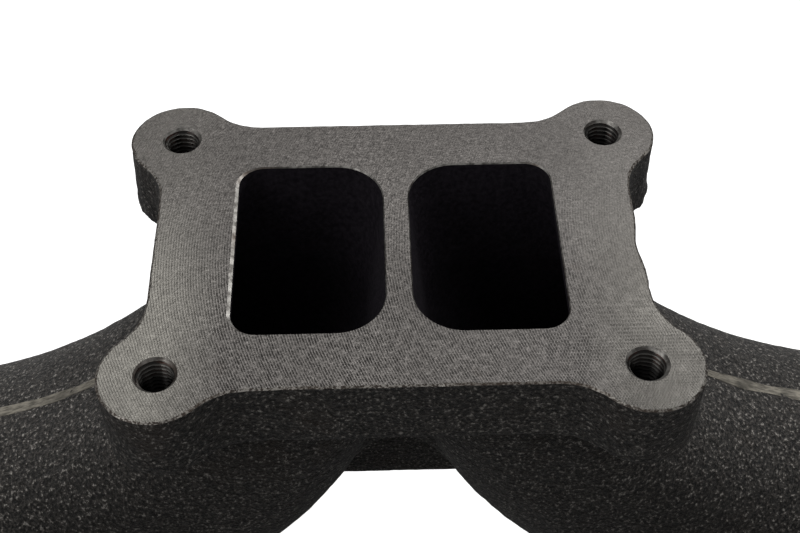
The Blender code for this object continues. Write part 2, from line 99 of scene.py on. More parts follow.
# Legs, swept round a bend centre in the XZ plane, and the web between them
WALL = 0.007
BEND_X = 0.162
BEND_Z = 0.061
BEND_RADIUS = 0.1385
LOG_RADIUS = 0.0425
OUTER_START_DEG = 38.0
INNER_START_DEG = 27.3
INNER_START_RADIUS = 0.181
INNER_FULL_DEG = 80.5
LEG_HALF_DEPTH = 0.034
LEG_OUTER_CORNER = 0.014
LEG_INNER_CORNER = 0.022
LEG_ROUND_SHARE = 0.8
LEG_STEPS = 40
PASSAGE_FIRST_SHARE = 0.06
WEB_THICKNESS = 0.010
WEB_TOP = -0.015
WEB_BOTTOM = -0.101
WEB_HALF_TOP = 0.005
WEB_HALF_BOTTOM = 0.036

# Log, slip joints and trunks
SOCKET_TAPER = 0.008
SOCKET_BOSS_X = 0.172
SOCKET_FLOOR_X = 0.168
SOCKET_BOSS_RADIUS = 0.048
SOCKET_BORE_RADIUS = 0.038
SPIGOT_RADIUS = 0.037
SPIGOT_BORE_RADIUS = 0.0305
SHOULDER_X = 0.211
SHOULDER_WIDTH = 0.008
SHOULDER_TAPER = 0.010
SHOULDER_RADIUS = 0.0445
TRUNK_RADIUS = 0.039
TRUNK_END_RADIUS = 0.0355
TRUNK_WALL = 0.0065
RING_OFFSETS = (0.0060, 0.0130)
GROOVE_WIDTH = 0.0034
GROOVE_RADIUS = 0.0344
RING_GAP_DEG = 3.0

# Cylinder-head ports
PORT_HALF_WIDTH = 0.020
PORT_HALF_HEIGHT = 0.025
PORT_CORNER = 0.009
NECK_RADIUS = 0.028
NECK_START = 0.006
NECK_STEPS = 12
PORT_FLANGE_THICKNESS = 0.013
PORT_PAD_MARGIN = 0.010
PORT_PAD_CORNER = 0.014
PORT_EAR_RADIUS = 0.0135
BOLT_HOLE_RADIUS = 0.0056

# Threads: M10 x 1.5. Their tone changes at a middle radius, and painted shade deepens between two
# heights.
THREAD_PITCH = 0.0015
THREAD_MAJOR = 0.00505
THREAD_MINOR = 0.00425
THREAD_MIDDLE = 0.0046
THREAD_SHADE = (-0.0010, -0.0075)
THREAD_CREST = 0.14
THREAD_FLANK = 0.72
COUNTERSINK_RADIUS = 0.0056
COUNTERSINK_TOLERANCE = 0.0001
THREAD_ROWS_PER_PITCH = 8
THREAD_SEGMENTS = 36

# The cast skin: its grid, how many steps smooth it and then fill its hollows into fillets,
# how far a step moves it, an outer edge's share of that, and the share of triangles kept
SKIN_GRID = 0.0011
SKIN_SETTLING = 3
SKIN_FILLING = 16
SKIN_STEP = 0.5
SKIN_EDGE_WEAR = 0.04
SKIN_OFFSET = 0.00005
SKIN_KEPT = 0.35
BOX_MARGIN = 0.00001

# The sand's relief: layers as (scale, shift, height), and the pits among them
SAND_LAYERS = ((55, (0, 0, 0), 0.00013), (170, (3, 7, 1), 0.00012), (420, (9, 2, 5), 0.00013))
PIT_SCALE = 210
PIT_SHIFT = (1, 8, 4)
PIT_THRESHOLD = 0.42
PIT_DEPTH = 0.0009

# Allowances and small edges of machining
MACHINING_ALLOWANCE = 0.006
OPENING_STRAIGHT = 0.003
SPOT_FACE_RADIUS = 0.0105
SPOT_FACE_DEPTH = 0.0001
EDGE_CHAMFER = 0.001
DOME_DEGREES = (10, 20, 30, 40, 50, 60, 70, 80, 86)

# Chamfers round the machined faces, how ragged they are, and how closely points are merged
CHAMFER_DEPTH = 0.0004
OUTER_CHAMFER = 0.0006
HOLE_CHAMFER = 0.0003
FILED_CHAMFER = 0.0009
FILED_REACH = 0.004
CUT_TOLERANCE = 1e-7
RIM_REACH = 2
RIM_MERGE = 0.00012
RIM_GRAIN = 1400.0
RIM_COARSER = 3
RIM_RAG = 0.4

# The hollow in the flange's side over the rear leg
HOLLOW_DEPTH = 0.0015
HOLLOW_Y = -0.002
HOLLOW_REACH = 0.0055
HOLLOW_SEGMENTS = 24

# The fillet in the crotch of the legs: its underside is a parabola across the gap
CROTCH_APEX = -0.0718
CROTCH_HALF_WIDTH = 0.0172
CROTCH_CURVE = 62.0
CROTCH_HALF_DEPTH = 0.012
CROTCH_SEGMENTS = 16
CROTCH_BACKING = ((0.024, -0.0901), (0.020, -0.060), (0.012, -0.030))

# How far the ears away from the head lean out, as (side, lean), and where the lean starts
EAR_LEANS = ((-1, 0.0010), (1, 0.0004))
EAR_LEAN_START = 0.003

# Lumps of flash on one ear: (direction from the ear's middle, height), and a lump's own shape
FLASH_SPOTS = ((-16.0, -0.0193), (-30.0, -0.0218))
FLASH_PROFILE = ((0.0007, -0.0022), (0.0013, -0.0010), (0.0013, 0.0010), (0.0007, 0.0022))

# The ground ridge on the parting line
RIDGE_FIRST_DEG = 36.0
RIDGE_STEPS = 60
RIDGE_NARROW = 0.0009
RIDGE_WIDE = 0.0017
RIDGE_HEIGHT = 0.0002
RIDGE_ROOT = 0.002
RIDGE_ROOT_SPREAD = 1.3
RIDGE_GRAIN = 90.0
RIDGE_RAG = 0.5

# How finely outlines are drawn
CORNER_SEGMENTS = 16
SIDE_SEGMENTS = 6
ROUND_SEGMENTS = 96

# The angles above which edges stay sharp, on plain pieces and on castings
SHARP_EDGE_DEG = 30
CAST_SHARP_DEG = 38

# Rings, gaskets and fasteners
RING_DEPTH = 0.0026
RING_EDGE = 0.00025
GASKET_INSET = 0.001
GASKET_MARGIN = 0.001
GASKET_SHEET_SHARE = 0.6
GASKET_BEAD_WIDTH = 0.005
GASKET_BEAD = ((0, 0), (0.3, 0), (0.45, 0.8), (0.55, 1), (0.7, 1), (0.8, 0.8), (1, 0))
SLEEVE_RADIUS = 0.009
SLEEVE_REACH = 0.0002
BOLT_RADIUS = 0.00495
BOLT_CORE_RADIUS = 0.0041
BOLT_SHANK_RADIUS = 0.0049
BOLT_THREAD_LENGTH = 0.030
BOLT_LEAD_SLOPE = 0.8
THREAD_RUNOUT = 0.0005
BOLT_WASHER_THICKNESS = 0.0025
BOLT_ACROSS_FLATS = 0.015
BOLT_HEX_HEIGHT = 0.009
BOLT_HEAD = BOLT_WASHER_THICKNESS + BOLT_HEX_HEIGHT

# The bolt's collar as (radius, height); its hex as shares of its height; its crown and dish
BOLT_COLLAR = ((0.0049, 0.0008), (0.0055, 0), (0.0091, 0), (0.0095, -0.0004),
               (0.0095, -0.0013), (0.0092, -0.0017))
HEX_STEPS = (0.0, 0.3, 0.55, 0.75, 0.88, 0.95, 1.0)
HEX_CROWN = 0.94
HEX_CROWN_SLOPE = 1.7
HEX_DISH = ((0.80, 0), (0.70, 0.0005))

# Face mill
CUTTER_RADIUS = 0.112
CUTTER_FEED = 0.00072

# Studio: lamps are (name, place, size, watts)
FLOOR_HALF = 20.0
FLOOR_GAP = 0.0002
FLOOR_BOUNCE = 0.20
FLOOR_GLOW = 0.55
FLOOR_TONE = 0.86
FLOOR_ROUGHNESS = 0.9
WORLD_LIGHT = 0.27
SOFT_LAMPS = (
    ("overhead", (0.15, 0.55, 1.10), 1.2, 15.0),
    ("fill", (-0.9, -0.6, 0.9), 0.9, 3.0),
)

# Camera
CAMERA_PLACE = (-0.0072, -0.24155, 0.2565)
CAMERA_TARGET = (0.0004, -0.0083, 0.0)
CAMERA_ROLL_DEG = 0.17
CAMERA_LENS = 60.0
CAMERA_SENSOR = 36.0
CAMERA_NEAREST = 0.01

# Where the frame puts things
CENTRE_LOW, CENTRE_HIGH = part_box("centre_section")
LOG_Z = next(joint["pos_m"][2] for joint in frame["joints"] if joint["name"] == "rear_swivel")
HEAD_FACE = -CENTRE_LOW.y
SOCKET_MOUTH_X = CENTRE_HIGH.x
SPIGOT_TIP_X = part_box("rear_section")[0].x
CYLINDERS = range(1, 7)
PORT_X = {n: sum(corner.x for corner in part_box(f"port_{n}_gasket")) / 2 for n in CYLINDERS}
BOLT_LOW, BOLT_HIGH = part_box("port_1_upper_bolt")
BOLT_REACH = BOLT_HIGH.y - BOLT_LOW.y - BOLT_HEAD
SIDES = {"front": -1, "rear": 1}
SPOTS = ("upper", "lower")
SECTION_CYLINDERS = {"centre": (3, 4), "front": (1, 2), "rear": (5, 6)}
HEAD_SIDE = Matrix.Rotation(math.radians(90), 4, "X")
ON_LOG = Matrix.Translation((0, 0, LOG_Z)) @ Matrix.Rotation(math.radians(90), 4, "Y")

# Material slots of every casting, in order
IRON_FINISHES = ("cast", "machined", "rim", "filed", "thread", "passage", "ground")
CAST, MACHINED, RIM, FILED, THREAD, PASSAGE, GROUND = range(len(IRON_FINISHES))


# ---------------- outlines and solids

def blend(start, end, share):
    return start + (end - start) * share


def arc(centre, radius, start_deg, end_deg, segments):
    """Points of an arc, both ends included."""
    points = []
    for i in range(segments + 1):
        angle = math.radians(blend(start_deg, end_deg, i / segments))
        points.append((centre[0] + radius * math.cos(angle), centre[1] + radius * math.sin(angle)))
    return points


def polar(radius, angle, height):
    return Vector((radius * math.cos(angle), radius * math.sin(angle), height))


def circle(radius, height, segments=ROUND_SEGMENTS):
    points = arc((0, 0), radius, 0, 360, segments)[1:]
    return [Vector((x, y, height)) for x, y in points]


def rounded_rectangle(half_u, half_v, corner_plus, corner_minus):
    """Points of a rectangle in (u, v) whose corners at +u and -u have their own radii."""
    points = []
    for sign_u, sign_v, start in ((1, 1, 0), (-1, 1, 90), (-1, -1, 180), (1, -1, 270)):
        radius = corner_plus if sign_u > 0 else corner_minus
        centre = (sign_u * (half_u - radius), sign_v * (half_v - radius))
        corner = arc(centre, radius, start, start + 90, CORNER_SEGMENTS)
        if points:
            points += between(points[-1], corner[0], SIDE_SEGMENTS)
        points += corner
    points += between(points[-1], points[0], SIDE_SEGMENTS)
    return points


def between(start, end, segments):
    """The points that divide a straight side, its ends left out."""
    shares = [i / segments for i in range(1, segments)]
    return [(blend(start[0], end[0], s), blend(start[1], end[1], s)) for s in shares]


def convex_outline(points):
    """The convex outline round a set of flat points, in order."""
    outline = []
    points = sorted(points)
    for run in (points, points[::-1]):
        chain = []
        for x, y in run:
            while len(chain) > 1:
                (ax, ay), (bx, by) = chain[-2:]
                if (bx - ax) * (y - ay) - (by - ay) * (x - ax) > 0:
                    break
                chain.pop()
            chain.append((x, y))
        outline += chain[:-1]
    return outline


def flange_outline():
    """The turbocharger flange: a waisted rectangle with a round ear at each corner.

    Its side over the rear leg is slightly hollow, from fettling.
    """
    ear = (STUD_PITCH_X / 2, STUD_PITCH_Y / 2)
    reach = EAR_RADIUS + FLANGE_FILLET
    side_x = FLANGE_HALF_X + FLANGE_FILLET
    side_y = ear[1] - math.sqrt(reach**2 - (side_x - ear[0]) ** 2)
    end_y = FLANGE_HALF_Y + FLANGE_FILLET
    end_x = ear[0] - math.sqrt(reach**2 - (end_y - ear[1]) ** 2)
    side_deg = math.degrees(math.atan2(ear[1] - side_y, ear[0] - side_x))
    end_deg = math.degrees(math.atan2(end_y - ear[1], end_x - ear[0]))
    quarter = arc((side_x, side_y), FLANGE_FILLET, 180, side_deg, CORNER_SEGMENTS)
    quarter += arc(ear, EAR_RADIUS, side_deg - 180, end_deg, 4 * CORNER_SEGMENTS)[1:]
    quarter += arc((end_x, end_y), FLANGE_FILLET, end_deg - 180, -90, CORNER_SEGMENTS)[1:]
    outline = list(quarter)
    outline += [(-x, y) for x, y in reversed(quarter)]
    outline += [(-x, -y) for x, y in quarter]
    outline += [(x, -y) for x, y in reversed(quarter)]
    for _, y in between((0, -side_y), (0, side_y), HOLLOW_SEGMENTS):
        hollow = HOLLOW_DEPTH * math.exp(-(((y - HOLLOW_Y) / HOLLOW_REACH) ** 2))
        outline.append((FLANGE_HALF_X - hollow, y))
    return outline


def loft(rings, finish=CAST, place=None, capped=True):
    """A solid through rings of equal length: capped at both ends, or joined end to start."""
    count = len(rings[0])
    points = [tuple(point) for ring in rings for point in ring]
    faces = []
    for low in range(0, len(points) - capped * count, count):
        high = (low + count) % len(points)
        for i in range(count):
            j = (i + 1) % count
            faces.append((low + i, low + j, high + j, high + i))
    if capped:
        faces += [tuple(range(count)), tuple(range(len(points) - count, len(points)))]
    mesh = bpy.data.meshes.new("solid")
    mesh.from_pydata(points, [], faces)
    if place:
        mesh.transform(place)
    return closed(mesh, finish)


def closed(mesh, finish):
    """Turns a mesh's faces outwards and gives them one finish."""
    bm = bmesh.new()
    bm.from_mesh(mesh)
    bmesh.ops.recalc_face_normals(bm, faces=bm.faces)
    for face in bm.faces:
        face.material_index = finish
    bm.to_mesh(mesh)
    bm.free()
    return mesh


def prism(outline, low, high, finish=CAST, place=None):
    rings = [[(x, y, height) for x, y in outline] for height in (low, high)]
    return loft(rings, finish, place)


def turned(profile, finish=MACHINED, place=None, segments=ROUND_SEGMENTS):
    """A solid of revolution about local Z from (radius, height) points, capped at both ends."""
    return loft([circle(radius, height, segments) for radius, height in profile], finish, place)


def new_object(name, data):
    thing = bpy.data.objects.new(name, data)
    bpy.context.scene.collection.objects.link(thing)
    return thing


def gather(name, meshes):
    """Puts several meshes into one new object, with the castings' material slots."""
    bm = bmesh.new()
    for mesh in meshes:
        bm.from_mesh(mesh)
    whole = bpy.data.meshes.new(name)
    bm.to_mesh(whole)
    bm.free()
    for finish in IRON_FINISHES:
        whole.materials.append(IRON_MATERIALS[finish])
    return new_object(name, whole)


def apply_modifiers(thing):
    """Replaces an object's mesh by what its modifiers make of it."""
    bpy.context.view_layer.update()
    graph = bpy.context.evaluated_depsgraph_get()
    mesh = bpy.data.meshes.new_from_object(thing.evaluated_get(graph), depsgraph=graph)
    thing.modifiers.clear()
    thing.data = mesh


def combine(thing, meshes, operation):
    """Cuts solids that don't touch each other out of a casting, or joins them to it."""
    tool = gather("tool", meshes)
    modifier = thing.modifiers.new("combine", "BOOLEAN")
    modifier.operation = operation
    modifier.object = tool
    modifier.solver = "MANIFOLD"
    apply_modifiers(thing)
    bpy.data.objects.remove(tool)


# ---------------- the cast skin

def cast_height(point):
    """How far the skin stands off its pattern at a point: the sand's relief, less its pits."""
    relief = 0.0
    for scale, shift, height in SAND_LAYERS:
        relief += noise.noise(point * scale + Vector(shift)) * height
    pit = noise.noise(point * PIT_SCALE + Vector(PIT_SHIFT)) - PIT_THRESHOLD
    return relief - max(0.0, pit) * PIT_DEPTH + SKIN_OFFSET


def places_and_normals(mesh):
    places = np.empty(len(mesh.vertices) * 3)
    normals = np.empty(len(mesh.vertices) * 3)
    mesh.vertices.foreach_get("co", places)
    mesh.vertex_normals.foreach_get("vector", normals)
    return places.reshape(-1, 3), normals.reshape(-1, 3)


def settle(mesh, steps, edge_wear):
    """Smooths a mesh: its hollows fill into fillets, and its outer edges wear by their share."""
    ends = np.empty(len(mesh.edges) * 2, dtype=np.int32)
    mesh.edges.foreach_get("vertices", ends)
    first, second = ends.reshape(-1, 2).T
    count = len(mesh.vertices)
    neighbours = np.bincount(ends, minlength=count)[:, None]
    for _ in range(steps):
        places, normals = places_and_normals(mesh)
        total = np.empty((count, 3))
        for k in range(3):
            total[:, k] = np.bincount(first, places[second, k], count)
            total[:, k] += np.bincount(second, places[first, k], count)
        pull = total / neighbours - places
        filling = (pull * normals).sum(axis=1, keepdims=True) > 0
        places += SKIN_STEP * pull * np.where(filling, 1.0, edge_wear)
        mesh.vertices.foreach_set("co", places.ravel())
        mesh.update()


def keep_in_box(mesh):
    """Keeps the skin inside the CAD model's box, apart from the stock above the milled face."""
    low, high = (np.array(corner) for corner in cad_bounds)
    low += BOX_MARGIN
    high -= BOX_MARGIN
    high[2] = 2 * MACHINING_ALLOWANCE
    places, _ = places_and_normals(mesh)
    mesh.vertices.foreach_set("co", np.clip(places, low, high).ravel())
    mesh.update()


def cast_skin(name, meshes):
    """Joins overlapping solids into one filleted skin and roughens it."""
    thing = gather(name, meshes)
    remesh = thing.modifiers.new("skin", "REMESH")
    remesh.mode = "VOXEL"
    remesh.voxel_size = SKIN_GRID
    apply_modifiers(thing)
    mesh = thing.data
    settle(mesh, SKIN_SETTLING, edge_wear=1.0)
    settle(mesh, SKIN_FILLING, SKIN_EDGE_WEAR)
    places, normals = places_and_normals(mesh)
    heights = np.array([cast_height(Vector(place)) for place in places])
    places += normals * heights[:, None]
    mesh.vertices.foreach_set("co", places.ravel())
    thin = thing.modifiers.new("thin", "DECIMATE")
    thin.ratio = SKIN_KEPT
    apply_modifiers(thing)
    keep_in_box(thing.data)
    return thing


# ---------------- machining

def boundary_loops(bm):
    """The open loops of a mesh, each as an ordered list of vertices."""
    onward = {}
    for edge in bm.edges:
        if edge.is_boundary:
            loop = edge.link_loops[0]
            onward[loop.link_loop_next.vert] = loop.vert
    loops = []
    while onward:
        first, vertex = onward.popitem()
        ring = [first]
        while vertex is not first:
            ring.append(vertex)
            vertex = onward.pop(vertex)
        loops.append(ring)
    return loops


def hole_width(place):
    """A hole's chamfer: narrow, but filed wide along the outer edge of the front opening."""
    if place.z <= -2 * CHAMFER_DEPTH:
        return HOLE_CHAMFER
    filed_x = -DIVIDER_THICKNESS / 2 - OPENING_WIDTH
    filed = max(0.0, 1 - abs(place.x - filed_x) / FILED_REACH)
    return blend(HOLE_CHAMFER, FILED_CHAMFER, filed)


def inset_points(ring, normal, outer, rise):
    """Points inside an open loop of a flat cut, on the material's side; outer edges are ragged."""
    count = len(ring)
    places = [vertex.co.copy() for vertex in ring]
    inset = []
    for i, place in enumerate(places):
        ahead = places[(i + RIM_REACH) % count]
        behind = places[i - RIM_REACH]
        inward = normal.cross((ahead - behind).normalized())
        width = hole_width(place)
        if outer:
            ragged = noise.noise(place * RIM_GRAIN) + noise.noise(place * RIM_GRAIN / RIM_COARSER)
            width = OUTER_CHAMFER * (1 + RIM_RAG * ragged)
        inset.append(place + inward * width + normal * rise)
    return inset


def turns_left(ring, normal):
    """True for the outer edge of a face, false for the edge of a hole in it."""
    total = Vector()
    for i, vertex in enumerate(ring):
        total += ring[i - 1].co.cross(vertex.co)
    return total.dot(normal) > 0


def face_off(thing, point, normal):
    """Mills everything beyond a plane away and leaves a small chamfer round what remains."""
    normal = Vector(normal)
    bm = bmesh.new()
    bm.from_mesh(thing.data)
    everything = bm.verts[:] + bm.edges[:] + bm.faces[:]
    plane = Vector(point) - normal * CHAMFER_DEPTH
    bmesh.ops.bisect_plane(bm, geom=everything, dist=CUT_TOLERANCE, plane_co=plane,
                           plane_no=normal, clear_outer=True)
    edge_vertices = [vertex for vertex in bm.verts if vertex.is_boundary]
    bmesh.ops.remove_doubles(bm, verts=edge_vertices, dist=RIM_MERGE)
    face_edges = []
    for ring in boundary_loops(bm):
        outer = turns_left(ring, normal)
        places = inset_points(ring, normal, outer, CHAMFER_DEPTH)
        inner = [bm.verts.new(place) for place in places]
        for i, vertex in enumerate(ring):
            j = (i + 1) % len(ring)
            chamfer = bm.faces.new((vertex, ring[j], inner[j], inner[i]))
            chamfer.material_index = RIM if outer else FILED
            face_edges.append(bm.edges.get((inner[i], inner[j])))
    filled = bmesh.ops.triangle_fill(bm, edges=face_edges, use_beauty=True, normal=normal)
    for item in filled["geom"]:
        if isinstance(item, bmesh.types.BMFace):
            item.material_index = MACHINED
    bmesh.ops.recalc_face_normals(bm, faces=bm.faces)
    bm.to_mesh(thing.data)
    bm.free()


def thread_radius(angle, height, minor, major):
    """The radius of a right-handed 60-degree thread at an angle and a height."""
    turn = (height / THREAD_PITCH - angle / (2 * math.pi)) % 1
    slope = abs(2 * turn - 1)
    return blend(minor, major, min(1.0, max(0.0, (slope - THREAD_CREST) / THREAD_FLANK)))


def threaded_rings(low, high, radius_at):
    """Rings about local Z at each row of a thread; radius_at(angle, height) shapes them."""
    rows = round((high - low) / THREAD_PITCH * THREAD_ROWS_PER_PITCH)
    rings = []
    for row in range(rows + 1):
        height = blend(low, high, row / rows)
        ring = []
        for i in range(THREAD_SEGMENTS):
            angle = 2 * math.pi * i / THREAD_SEGMENTS
            ring.append(polar(radius_at(angle, height), angle, height))
        rings.append(ring)
    return rings


def tapped_hole(sign_x, sign_y):
    """The tap and countersink of one threaded hole of the turbocharger flange."""
    def radius_at(angle, height):
        top = COUNTERSINK_RADIUS + height
        bottom = COUNTERSINK_RADIUS - FLANGE_THICKNESS - height
        return max(thread_radius(angle, height, THREAD_MINOR, THREAD_MAJOR), top, bottom)
    place = Matrix.Translation((sign_x * STUD_PITCH_X / 2, sign_y * STUD_PITCH_Y / 2, 0))
    low = -FLANGE_THICKNESS - 2 * THREAD_PITCH
    hole = loft(threaded_rings(low, THREAD_PITCH, radius_at), THREAD)
    for face in hole.polygons:
        cone = COUNTERSINK_RADIUS + face.center.z
        if abs(face.center.xy.length - cone) < COUNTERSINK_TOLERANCE:
            face.material_index = FILED
    hole.transform(place)
    return hole


# ---------------- flange, legs and web

def ring_between(outer, inner, half_depth, corner_outer, corner_inner):
    """A ring in the plane of two rail points (x, z) and Y, spanning from rail to rail."""
    outer = Vector((outer[0], 0, outer[1]))
    inner = Vector((inner[0], 0, inner[1]))
    half = (outer - inner).length / 2
    centre = (outer + inner) / 2
    along = (outer - inner).normalized()
    corners = (min(corner_outer, half, half_depth), min(corner_inner, half, half_depth))
    outline = rounded_rectangle(half, half_depth, *corners)
    return [centre + along * u + Vector((0, v, 0)) for u, v in outline]


def mirrored(rings, side):
    return [[Vector((side * p.x, p.y, p.z)) for p in ring] for ring in rings]


def leg_rails(share, offset):
    """The (x, z) points of a leg's outer and inner wall, moved into the wall by offset."""
    outer_deg = blend(OUTER_START_DEG, 90, share)
    inner_deg = blend(INNER_START_DEG, 90, share)
    opened = min(1.0, (inner_deg - INNER_START_DEG) / (INNER_FULL_DEG - INNER_START_DEG))
    full_radius = BEND_RADIUS + 2 * LOG_RADIUS
    inner_radius = blend(INNER_START_RADIUS, full_radius, 1 - (1 - opened) ** 2)
    rails = []
    for degrees, radius in ((outer_deg, BEND_RADIUS + offset), (inner_deg, inner_radius - offset)):
        angle = math.radians(degrees)
        rails.append((BEND_X - radius * math.cos(angle), BEND_Z - radius * math.sin(angle)))
    return rails


def leg_rings(offset, first_share):
    """Rings of one leg from the flange to the log, shrunk by offset, each rounder than the last."""
    rings = []
    for step in range(LEG_STEPS + 1):
        share = blend(first_share, 1.0, step / LEG_STEPS)
        outer, inner = leg_rails(share, offset)
        roundness = min(1.0, share / LEG_ROUND_SHARE)
        half_depth = blend(LEG_HALF_DEPTH, LOG_RADIUS, roundness) - offset
        corner_outer = blend(LEG_OUTER_CORNER, LOG_RADIUS, roundness) - offset
        corner_inner = blend(LEG_INNER_CORNER, LOG_RADIUS, roundness) - offset
        rings.append(ring_between(outer, inner, half_depth, corner_outer, corner_inner))
    return rings


def log_ring(x, radius):
    """A round ring about the log's axis."""
    outline = rounded_rectangle(radius, radius, radius, radius)
    return [Vector((x, v, LOG_Z + u)) for u, v in outline]


def leg_outside(side):
    """The outside of one leg, from half-way up the flange to beyond the socket's mouth."""
    rails = [(x, -FLANGE_THICKNESS / 2) for x, _ in leg_rails(0, 0)]
    rings = [ring_between(*rails, LEG_HALF_DEPTH, LEG_OUTER_CORNER, LEG_INNER_CORNER)]
    rings += leg_rings(0, 0)
    mouth = SOCKET_MOUTH_X + MACHINING_ALLOWANCE
    rings.append(log_ring(SOCKET_BOSS_X - SOCKET_TAPER, LOG_RADIUS))
    rings += [log_ring(x, SOCKET_BOSS_RADIUS) for x in (SOCKET_BOSS_X, mouth)]
    return loft(mirrored(rings, side))


def leg_passage(side):
    """The core of one leg: square opening at the flange, round at the log."""
    inner_x = DIVIDER_THICKNESS / 2
    outer_x = inner_x + OPENING_WIDTH
    rings = []
    for height in (MACHINING_ALLOWANCE, -OPENING_STRAIGHT):
        rings.append(ring_between((outer_x, height), (inner_x, height), OPENING_DEPTH / 2,
                                  OPENING_OUTER_CORNER, OPENING_INNER_CORNER))
    rings += leg_rings(WALL, PASSAGE_FIRST_SHARE)
    rings.append(log_ring(SOCKET_FLOOR_X + MACHINING_ALLOWANCE, LOG_RADIUS - WALL))
    return loft(mirrored(rings, side), PASSAGE)


def ridge(path, side):
    """A ground parting ridge along a path of (place, outward) pairs in the plane y = 0."""
    rings = []
    for i, (place, outward) in enumerate(path):
        wander = noise.noise(place * RIDGE_GRAIN + Vector((side, 0, 0)))
        width = blend(RIDGE_NARROW, RIDGE_WIDE, min(1.0, 2 * i / len(path)))
        half = width * (1 + RIDGE_RAG * wander)
        shift = width * RIDGE_RAG * noise.noise(place * RIDGE_GRAIN / 2)
        top = place + outward * RIDGE_HEIGHT
        root = place - outward * RIDGE_ROOT
        ring = []
        wide = half * RIDGE_ROOT_SPREAD
        for spot, reach in ((top, -half), (top, half), (root, wide), (root, -wide)):
            ring.append(spot + Vector((0, reach + shift, 0)))
        rings.append(ring)
    return loft(rings, GROUND)


def leg_ridge(side):
    """The parting ridge along the top of a leg, round its bend's circle."""
    path = []
    for degrees in np.linspace(RIDGE_FIRST_DEG, 90, RIDGE_STEPS):
        angle = math.radians(degrees)
        outward = Vector((side * math.cos(angle), 0, math.sin(angle)))
        centre = Vector((side * BEND_X, 0, BEND_Z))
        path.append((centre - outward * BEND_RADIUS, outward))
    return ridge(path, side)


def web():
    """The stiffening web in the casting's parting plane, between the two legs."""
    outline = [(-WEB_HALF_BOTTOM, WEB_BOTTOM), (WEB_HALF_BOTTOM, WEB_BOTTOM)]
    outline += [(WEB_HALF_TOP, WEB_TOP), (-WEB_HALF_TOP, WEB_TOP)]
    return prism(outline, -WEB_THICKNESS / 2, WEB_THICKNESS / 2, CAST, HEAD_SIDE)


# ---------------- ports

def port_place(number):
    """A port's own frame: local X along the log, local Y up, local Z from the log to the head."""
    return Matrix.Translation((PORT_X[number], 0, LOG_Z)) @ HEAD_SIDE


def bolt_offsets(number):
    """Where a port's two bolts sit in its own frame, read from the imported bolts."""
    offsets = []
    for spot in SPOTS:
        low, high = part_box(f"port_{number}_{spot}_bolt")
        middle = (low + high) / 2
        offsets.append((middle.x - PORT_X[number], middle.z - LOG_Z))
    return offsets


def port_neck(number, offset, start, end, finish):
    """A neck from the log to the head, round at first and squarer later, shrunk by offset."""
    rings = []
    for step in range(NECK_STEPS + 1):
        share = step / NECK_STEPS
        half_width = blend(NECK_RADIUS, PORT_HALF_WIDTH + WALL, share) - offset
        half_height = blend(NECK_RADIUS, PORT_HALF_HEIGHT + WALL, share) - offset
        corner = min(half_width, blend(NECK_RADIUS, PORT_CORNER + WALL, share) - offset)
        outline = rounded_rectangle(half_width, half_height, corner, corner)
        height = blend(start, end, share)
        rings.append([(x, y, height) for x, y in outline])
    return loft(rings, finish, port_place(number))


def port_flange_outline(number, inset=0.0):
    """A two-bolt port flange: its middle pad and its two ears, wrapped by straight edges."""
    half_width = PORT_HALF_WIDTH + PORT_PAD_MARGIN - inset
    half_height = PORT_HALF_HEIGHT + PORT_PAD_MARGIN - inset
    points = rounded_rectangle(half_width, half_height, PORT_PAD_CORNER, PORT_PAD_CORNER)
    for ear in bolt_offsets(number):
        points += arc(ear, PORT_EAR_RADIUS - inset, 0, 360, ROUND_SEGMENTS)
    return convex_outline(points)


def port_solids(number):
    """The cast neck and flange of one port, with stock for machining on the head's side."""
    seat = HEAD_FACE - PORT_FLANGE_THICKNESS
    stock = HEAD_FACE + MACHINING_ALLOWANCE
    neck = port_neck(number, 0, NECK_START, HEAD_FACE - PORT_FLANGE_THICKNESS / 2, CAST)
    return [neck, prism(port_flange_outline(number), seat, stock, CAST, port_place(number))]


def bolt_holes(number):
    """The two bolt holes of a port flange, each with a shallow spot face for its sleeve."""
    seat = HEAD_FACE - PORT_FLANGE_THICKNESS
    shallow = seat + SPOT_FACE_DEPTH
    through = HEAD_FACE + 2 * MACHINING_ALLOWANCE
    holes = []
    for offset in bolt_offsets(number):
        profile = [(SPOT_FACE_RADIUS, seat - MACHINING_ALLOWANCE), (SPOT_FACE_RADIUS, shallow)]
        profile += [(BOLT_HOLE_RADIUS, shallow), (BOLT_HOLE_RADIUS, through)]
        place = port_place(number) @ Matrix.Translation((*offset, 0))
        holes.append(turned(profile, MACHINED, place, THREAD_SEGMENTS))
    return holes


def machine_ports(casting, cylinders):
    for number in cylinders:
        end = HEAD_FACE + 2 * MACHINING_ALLOWANCE
        core = port_neck(number, WALL, NECK_START, end, PASSAGE)
        combine(casting, [core], "DIFFERENCE")
        combine(casting, bolt_holes(number), "DIFFERENCE")
    face_off(casting, (0, -HEAD_FACE, 0), (0, -1, 0))


# ---------------- the centre casting put together

def crotch():
    """The fillet in the crotch of the legs, arched underneath. Its ends are inside the legs."""
    outline = []
    for x, _ in between((-CROTCH_HALF_WIDTH, 0), (CROTCH_HALF_WIDTH, 0), CROTCH_SEGMENTS):
        outline.append((x, CROTCH_APEX - CROTCH_CURVE * x**2))
    outline += list(CROTCH_BACKING)
    outline += [(-x, z) for x, z in reversed(CROTCH_BACKING)]
    return prism(outline, -CROTCH_HALF_DEPTH, CROTCH_HALF_DEPTH, CAST, HEAD_SIDE)


